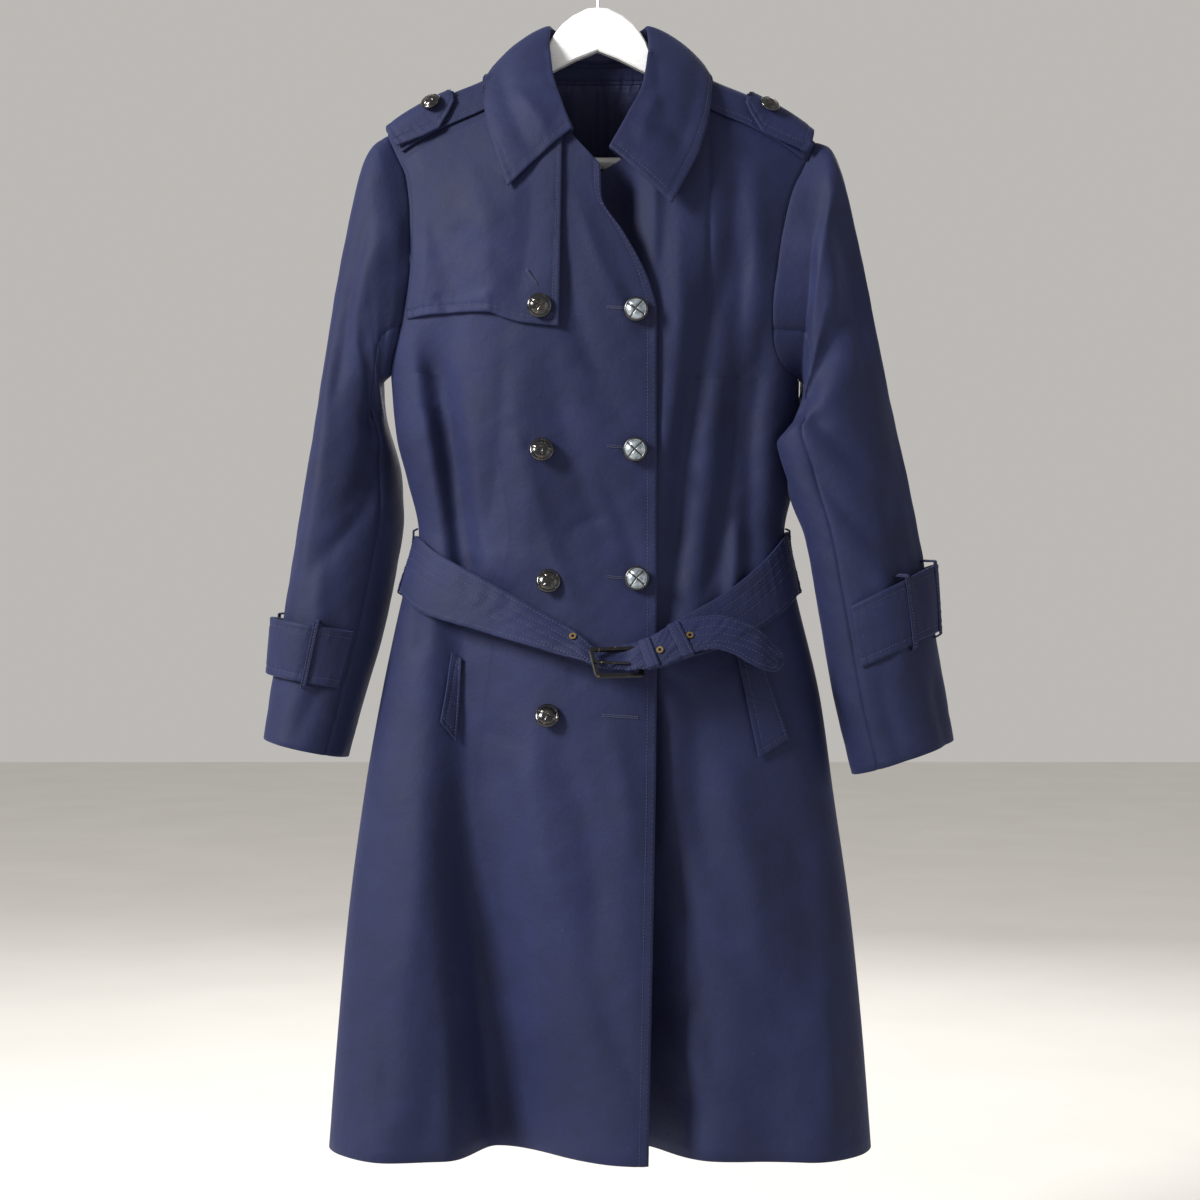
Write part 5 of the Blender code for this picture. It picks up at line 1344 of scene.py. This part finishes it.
def strap_loop(node, points, toward, edges, groove, depth, reach, seed, wall=CLOTH, rise=CLOTH):
    """A narrow loop, with a groove and a row of stitches along each of two edges."""
    seams = [(edge, groove, depth) for edge in edges]
    made = cloth(node, points, toward, wall, rise, seams, seed=seed)
    for edge in edges:
        sew(made, edge, reach, pitch=2.8, length=1.8)


def band(node, x, over_strap, length, wall):
    """A loop of strap round the belt, square to it: a flat tube with open ends."""
    over = np.array([belt_across(over_strap, x + shift) for shift in (-7, 0, 7)])
    along = unit(over[2, 1] - over[0, 1])
    up = over[1, 0] - over[1, 2]
    up = unit(up - along * (up @ along))
    out = np.cross(along, up)
    out = out if out[1] < 0 else -out
    every = np.concatenate([over[1] - out * 0.5, over[1] + out * (STRAP_WALL + 0.9)])
    high, deep = every @ up, every @ out
    centre = over[1, 1]
    centre = centre + up * ((high.max() + high.min()) / 2 - centre @ up)
    centre = centre + out * ((deep.max() + deep.min()) / 2 - centre @ out)
    height, depth = np.ptp(high) + 1.0, np.ptp(deep) + 0.6
    shape = rounded_box(height + 2 * wall, depth + 2 * wall, 2.0, 5)
    shape = np.concatenate([shape, shape[:1]])
    shape = np.stack([np.interp(np.linspace(0, len(shape) - 1, 121), np.arange(len(shape)), shape[:, k])
                      for k in range(2)], -1)
    across = np.linspace(-0.5, 0.5, 9) * length
    points = centre + across[None, :, None] * along + shape[:, None, :1] * up + shape[:, None, 1:] * out
    strap_loop(node, points, unit(points - centre), ("top", "foot"), 1.8, 0.7, 1.9, x / 9, wall, 0.0)


# The way of a belt loop from its top to its foot, and how far it stands off the cloth.
BELT_LOOP = table("down off", (569.5, 0.9), (571.5, 4.7), (600, 4.7), (629, 4.7), (631, 0.9))


def build_trim(over_strap):
    """Keepers, belt loops and pocket welts."""
    for node, x in (("belt_keeper_fixed", 46.5), ("belt_keeper_sliding", 75.0)):
        band(node, x, over_strap, 10.4, 1.2)
    for side, around in (("left", 1.0), ("right", 3.0)):
        part = np.linspace(0, 4, 61)
        down, off = (np.interp(part, range(5), BELT_LOOP[name]) for name in ("down", "off"))
        rows = around + np.linspace(-0.035, 0.035, 11)
        points, normals = place_around(rows[:, None], down, off)
        strap_loop(f"belt_loop_{side}", points, normals, ("first", "last"), 2.0, 0.6, 2.0, around)
    for side, corners in POCKETS.items():
        a, b, c, d = (np.array(corner, float) for corner in corners)
        u, v = np.meshgrid(np.linspace(0, 1, 19), np.linspace(0, 1, 61), indexing="ij")
        plan = (a * (1 - u)[..., None] + d * u[..., None]) * (1 - v)[..., None]
        plan = plan + (b * (1 - u)[..., None] + c * u[..., None]) * v[..., None]
        surface = front_y if side == "right" else under_y
        points = at_surface(surface, plan[..., 0], plan[..., 1])
        made = cloth(f"pocket_welt_{side}", points, (0, -1, 0), CLOTH, WELT_REST + CLOTH,
                     [("first", 6, 1.0), ("last", 3, 0.8), ("foot", 5, 1.0)], seed=3.0)
        for edge, reach in (("first", 6.0), ("foot", 5.0), ("last", 2.5)):
            sew(made, edge, reach, (0.05, 0.95))


# For each cuff: the rings of the strap's edges at the seam and at the outer side, how far its
# edges stand out there, and the strap's loops as turns.
CUFFS = {
    "right": ((8.05, 8.9), (8.0, 8.85), (9.0, 4.0), (("side", -1.6), ("front", 4.3))),
    "left": ((8.1, 8.8), (7.6, 8.45), (10.0, 3.0), (("side", 1.2), ("front", 3.6))),
}
CAD_SIDES = 20  # points round a sleeve that the cuff tables count in
CAD_UNDER = (7, 13)
STRAP_REST = 1.4  # gap between the sleeve and the strap
LOOP_REST = 4.2  # from the sleeve to the inside of a loop over the strap
LOOP_PARTS = (-0.10, -0.06, 0.5, 1.06, 1.10)  # a loop's way over the strap, as shares of its width


def build_cuffs(sleeves):
    """A strap round each cuff from the front seam outwards to the back, and its loops."""
    for side, (at_seam, at_side, stand, loops) in CUFFS.items():
        grid = sleeves[side][:: SLEEVE_SIDES // CAD_SIDES, ::RING_STEPS]

        def edge(turn, part):
            swing = (1 + np.cos(turn * 2 * np.pi / CAD_SIDES)) / 2
            top = at_seam[0] + (at_side[0] - at_seam[0]) * swing
            foot = at_seam[1] + (at_side[1] - at_seam[1]) * swing
            return top + (foot - top) * part, swing * (stand[0] + (stand[1] - stand[0]) * part)

        turns = np.linspace(CAD_UNDER[0] - 0.4, CAD_UNDER[1] - CAD_SIDES + 0.6, 15)
        part = np.linspace(0, 1, 4)
        rings = np.array([[edge(t, p)[0] for p in part] for t in turns])
        off = STRAP_REST + np.array([[edge(t, p)[1] for p in part] for t in turns])
        points, normals = cuff_patch(grid, turns, rings)
        points = finer(points + normals * off[..., None], 9, 8)
        toward = finer(normals, 9, 8)
        seams = [("top", 6.0, 1.5), ("foot", 6.0, 1.5)]
        run = edge_reach(points, "first")
        own = 0.5 * np.sin(run / 19 + np.sin(run / 41)) * np.sin(np.linspace(0, np.pi, points.shape[1]))
        made = cloth(f"cuff_strap_{side}", points, toward, STRAP_WALL, STRAP_WALL, seams,
                     seed=7.7 if side == "right" else 4.1, extra=own)
        sew(made, "top", 6.0)
        sew(made, "foot", 6.0)
        sew(made, "last", 5.0, (0.14, 0.86))
        for place, turn in loops:
            wide = turn + np.array((-0.14, 0.14))
            rings = np.array([[edge(t, p)[0] for p in LOOP_PARTS] for t in wide])
            high = [[edge(t, min(max(p, 0), 1))[1] for p in LOOP_PARTS] for t in wide]
            high = np.array(high) + LOOP_REST
            high[:, 0] = high[:, -1] = 0.8
            points, normals = cuff_patch(grid, wide, rings)
            points = points + normals * high[..., None]
            steps = np.linspace(0, 4, 45)
            points, normals = (
                np.stack([[np.interp(steps, range(5), row[:, k]) for k in range(3)] for row in rows])
                .transpose(0, 2, 1) for rows in (points, normals)
            )
            mixed = np.linspace(0, 1, 9)[:, None, None]
            points = points[0] * (1 - mixed) + points[1] * mixed
            normals = unit(normals[0] * (1 - mixed) + normals[1] * mixed)
            strap_loop(f"cuff_loop_{side}_{place}", points, normals, ("first", "last"), 1.8, 0.6, 1.9, turn)


def build_neck():
    """The facing and the lining that show inside the back of the neck."""
    columns = np.linspace(-57, 57, 91)
    for name, top, foot, look, rows, seams in (
        ("neck_facing", 127, 141, "cloth", 17, [("foot", 2.5, 1.8)]),
        ("back_lining", 142, 330, "lining", 91, [("top", 1.5, 2.2)]),
    ):
        reach = np.linspace(1, 1 if name == "neck_facing" else 1.5, rows)
        across = columns[:, None] * reach
        drop = top + (foot - top) * np.linspace(0, 1, rows) + 0 * across
        drop = np.maximum(drop, ridge(across) + 14 + 10 * (name == "back_lining"))
        points = at_surface(back_y, across, drop)
        own = np.zeros(points.shape[:2])
        if name == "back_lining":
            fall = ease((drop - top) / 14) * (1 - 0.6 * ease((drop - top - 20) / 90))
            gathers = 0.9 * np.sin(across / 3.1 + 0.8 * np.sin(across / 11))
            own = fall * (gathers + 0.8 * np.sin(across / 7.3 + 1))
            own = own * (0.55 + 0.45 * ease((across + 20) / 50))
        made = cloth(name, points, (0, -1, 0), 1.0, 4.0, seams, look=look, seed=top / 31, extra=own)
        if name == "neck_facing":
            sew(made, "foot", 2.5)


# Buttons, buckle and hanger -----------------------------------------------------------------------


def turned_points(profile, sides, grooves=0.0, spin=0.0):
    """Points of a turned button about +Z. grooves is how deep the crossed grooves on its face are."""
    profile = smooth_line(np.array(profile, float), 5)
    turn = np.arange(sides) * 2 * np.pi / sides
    rows = [np.stack([r * np.cos(turn), r * np.sin(turn), 0 * turn + h], -1) for r, h in profile[1:-1]]
    points = np.array(rows)
    if grooves:
        x, y = points[..., 0], points[..., 1]
        a, b = (x * np.cos(spin + k) + y * np.sin(spin + k) for k in (0, np.pi / 2))
        trench = np.exp(-((a / 0.55) ** 2)) + np.exp(-((b / 0.55) ** 2))
        trench = np.minimum(trench, 1) * ease((10.4 - np.hypot(x, y)) / 1.5)
        points[..., 2] -= grooves * trench * ease((points[..., 2] - 4.0) / 1.5)
    count = len(points)
    back, face = (0, 0, profile[0][1]), (0, 0, profile[-1][1] - grooves)
    every = np.concatenate([[back], points.reshape(-1, 3), [face]])
    faces = []
    for k in range(sides):
        after = (k + 1) % sides
        faces.append((0, 1 + after, 1 + k, 1 + k))
        for ring in range(count - 1):
            low, high = 1 + ring * sides, 1 + (ring + 1) * sides
            faces.append((low + k, low + after, high + after, high + k))
        top = 1 + (count - 1) * sides
        faces.append((top + k, top + after, len(every) - 1, len(every) - 1))
    return every, faces


# A button's radius and height, from the middle of its back to the middle of its face.
BUTTON_PROFILE = ((0, 0), (6.5, 0), (9.6, 0.9), (11.2, 2.6), (11.45, 3.8), (10.9, 5.0), (9.6, 5.7),
                  (8.6, 5.6), (7.4, 6.6), (4.4, 7.8), (0, 8.2))
# Each button's size, how deep its grooves are, how they turn, and its look.
BUTTON_LOOKS = {
    "button_flap": (1.0, 0.9, 0.55, "resin"),
    "button_right_2": (1.0, 0.5, 0.2, "resin"),
    "button_right_3": (1.0, 0.6, 0.9, "resin"),
    "button_right_4": (1.0, 0.8, 0.4, "resin"),
    # The next three are the same black buttons, with the light's reflection painted into their colour.
    "button_left_1": (1.0, 0.9, 0.62, "painted_reflection"),
    "button_left_2": (1.0, 0.9, 0.75, "painted_reflection"),
    "button_left_3": (1.0, 0.9, 0.72, "painted_reflection"),
    "button_epaulette_right": (0.84, 0.8, 0.5, "resin"),
    "button_epaulette_left": (0.84, 0.8, 1.2, "resin"),
    "button_cuff_right": (0.84, 0.8, 0.8, "resin"),
    "button_cuff_left": (0.84, 0.8, 0.8, "resin"),
}


def button_axis(node):
    """The button's place and axis, from the flat back of its solid."""
    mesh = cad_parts[node].data
    points = np.array([v.co for v in mesh.vertices], float) / MM
    middle = points.mean(axis=0)
    _, vectors = np.linalg.eigh(np.cov((points - middle).T))
    axis = vectors[:, 0]
    far = (points - middle) @ axis
    reach = np.linalg.norm(points - middle - np.outer(far, axis), axis=1)
    # The back is the narrower end: the front closes to a low dome inside a wide rim.
    low, high = far.min(), far.max()
    at_low = reach[np.abs(far - low) < 0.5].max()
    at_high = reach[np.abs(far - high) < 0.5].max()
    if at_low < at_high:
        axis, low = -axis, -high
    return middle + axis * low, axis


def build_buttons():
    """Each button turned about the axis of its own solid."""
    for node, (size, grooves, spin, look) in BUTTON_LOOKS.items():
        foot, axis = button_axis(node)
        side = unit(np.cross(axis, (0.0, 0.0, 1.0)))
        up = np.cross(side, axis)
        points, faces = turned_points(BUTTON_PROFILE, 56, grooves, spin)
        points = points * size
        placed = foot + points[:, :1] * side + points[:, 1:2] * up + points[:, 2:] * axis
        piece = polygon_object(f"{node}_turned", placed, faces)
        turned = np.array(((np.cos(spin), np.sin(spin)), (-np.sin(spin), np.cos(spin))))
        cut = points[:, :2] @ turned.T / size * MM
        set_cut(piece, cut)
        finish_piece(piece, MATERIALS[look], node)


def polygon_object(name, points, faces):
    """A mesh from faces of three or four corners, a three-cornered one given with its last twice."""
    faces = [f[:3] if f[2] == f[3] else f for f in faces]
    mesh = bpy.data.meshes.new(name)
    mesh.from_pydata((np.asarray(points) * MM).tolist(), [], [tuple(map(int, f)) for f in faces])
    mesh.shade_smooth()
    made = bpy.data.objects.new(name, mesh)
    bpy.context.scene.collection.objects.link(made)
    volume = sum(np.linalg.det(np.array([points[f[0]], points[f[1]], points[f[2]]])) for f in faces[::7])
    if volume < 0:
        mesh.flip_normals()
    return made


# Buttonholes: start and end of each on the overlap, x and down, and whether it lies on the flap.
BUTTONHOLES = (
    (8, 366.5, 26, 368, False),
    (8, 494.5, 26, 496, False),
    (8, 615, 26, 616.5, False),
    (4, 742, 37, 744, False),
    (-66, 332, -55.5, 346, True),
)


HOLE_HALF = 0.9  # from the middle of a buttonhole to its rows of stitches


def build_buttonholes():
    """Each hole is a slot of close stitches with a dark line between them."""
    slots = []
    for x0, down0, x1, down1, on_flap in BUTTONHOLES:
        part = np.linspace(0, 1, 24)
        x, down = x0 + (x1 - x0) * part, down0 + (down1 - down0) * part
        lift = 4.4 if on_flap else 0.45
        for shift in (-HOLE_HALF, HOLE_HALF):
            line = np.stack([x, front_y(x, down + shift) - lift, -(down + shift)], -1)
            out = np.zeros_like(line)
            out[:, 1] = -1
            THREADS.append(stitches(line, out, pitch=1.05, length=1.2, radius=0.5))
        middle = np.stack([x, front_y(x, down) - lift + 0.1, -down], -1)
        side = np.array((0, 0, 0.55))
        strip = np.stack([middle - side, middle + side], 1).reshape(-1, 3)
        index = np.arange(len(strip)).reshape(-1, 2)
        quads = np.stack([index[:-1, 0], index[1:, 0], index[1:, 1], index[:-1, 1]], -1)
        slots.append((strip, quads))
    return slots


def joined(name, parts, look):
    """The points and faces of many small meshes as one piece."""
    starts = np.cumsum([0] + [len(points) for points, _ in parts[:-1]])
    faces = [faces + start for start, (_, faces) in zip(starts, parts)]
    piece = mesh_object(name, np.concatenate([points for points, _ in parts]), np.concatenate(faces))
    finish_piece(piece, MATERIALS[look])


HARD_LOOKS = {
    "buckle_frame": "gunmetal", "buckle_prong": "gunmetal", "eyelet_1": "brass", "eyelet_2": "brass",
    "eyelet_3": "brass", "hanger_body": "wood", "hanger_bar": "wood", "hanger_hook": "steel",
}


def dress_hard_parts():
    """The looks of the nodes that are kept as they are."""
    for node, look in HARD_LOOKS.items():
        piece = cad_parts[node]
        if not piece.material_slots:
            piece.data.materials.append(MATERIALS[look])
        for slot in piece.material_slots:
            slot.material = MATERIALS[look]


# Stage --------------------------------------------------------------------------------------------


def light(name, place, target, size, power, colour):
    """A rectangular lamp that faces its target."""
    lamp = bpy.data.lights.new(name, "AREA")
    lamp.shape = "RECTANGLE"
    lamp.size, lamp.size_y = size
    lamp.energy = power
    lamp.color = colour
    made = bpy.data.objects.new(name, lamp)
    made.location = place
    made.rotation_euler = (Vector(target) - Vector(place)).to_track_quat("-Z", "Y").to_euler()
    bpy.context.scene.collection.objects.link(made)


FLOOR_REACH = 9000
FLOOR_DOWN = 1420


def build_stage():
    """A pale floor under the coat, soft light from the upper left, and the camera straight on."""
    signs = ((-1, -1), (1, -1), (1, 1), (-1, 1))
    corners = [(x * FLOOR_REACH, y * FLOOR_REACH, -FLOOR_DOWN) for x, y in signs]
    floor = mesh_object("floor", corners, [(0, 1, 2, 3)])
    n = Nodes("pale_floor")
    place = n.add("TexCoord").outputs["Object"]
    tone = n.ramp(n.noise(place, 3.0), [(0.3, (0.76, 0.74, 0.71)), (0.7, (0.80, 0.78, 0.75))])
    n.out(Base_Color=tone, Roughness=0.8)
    floor.data.materials.append(n.material)
    world = bpy.data.worlds.new("studio")
    world.use_nodes = True
    background = world.node_tree.nodes["Background"]
    background.inputs["Color"].default_value = (0.93, 0.90, 0.86, 1)
    background.inputs["Strength"].default_value = 0.54
    bpy.context.scene.world = world
    light("key", (-2.6, -1.7, 1.0), (0, 0, -0.55), (0.8, 1.1), 250, (1.0, 0.98, 0.95))
    light("fill", (2.6, -1.8, -0.1), (0.2, 0, -0.6), (2.0, 2.0), 16, (0.95, 0.97, 1.0))
    light("behind", (0.4, 2.4, 0.6), (0, 0, -0.5), (2.0, 2.0), 30, (1.0, 0.98, 0.95))
    camera = bpy.data.cameras.new("view")
    camera.lens = 69.5
    camera.sensor_width = 36
    made = bpy.data.objects.new("view", camera)
    made.location = (0.002, -2.2, -0.6365)
    made.rotation_euler = (np.pi / 2, 0, 0)
    bpy.context.scene.collection.objects.link(made)
    bpy.context.scene.camera = made


def main():
    bpy.context.scene.view_settings.view_transform = "Standard"
    grids = build_body()
    sleeves = build_sleeves()
    build_shoulders()
    build_flap()
    build_collar(grids)
    build_trim(build_belt())
    build_cuffs(sleeves)
    build_neck()
    build_buttons()
    slots = build_buttonholes()
    joined("stitching", THREADS, "thread")
    joined("buttonhole_slots", slots, "lining")
    dress_hard_parts()
    build_stage()


main()
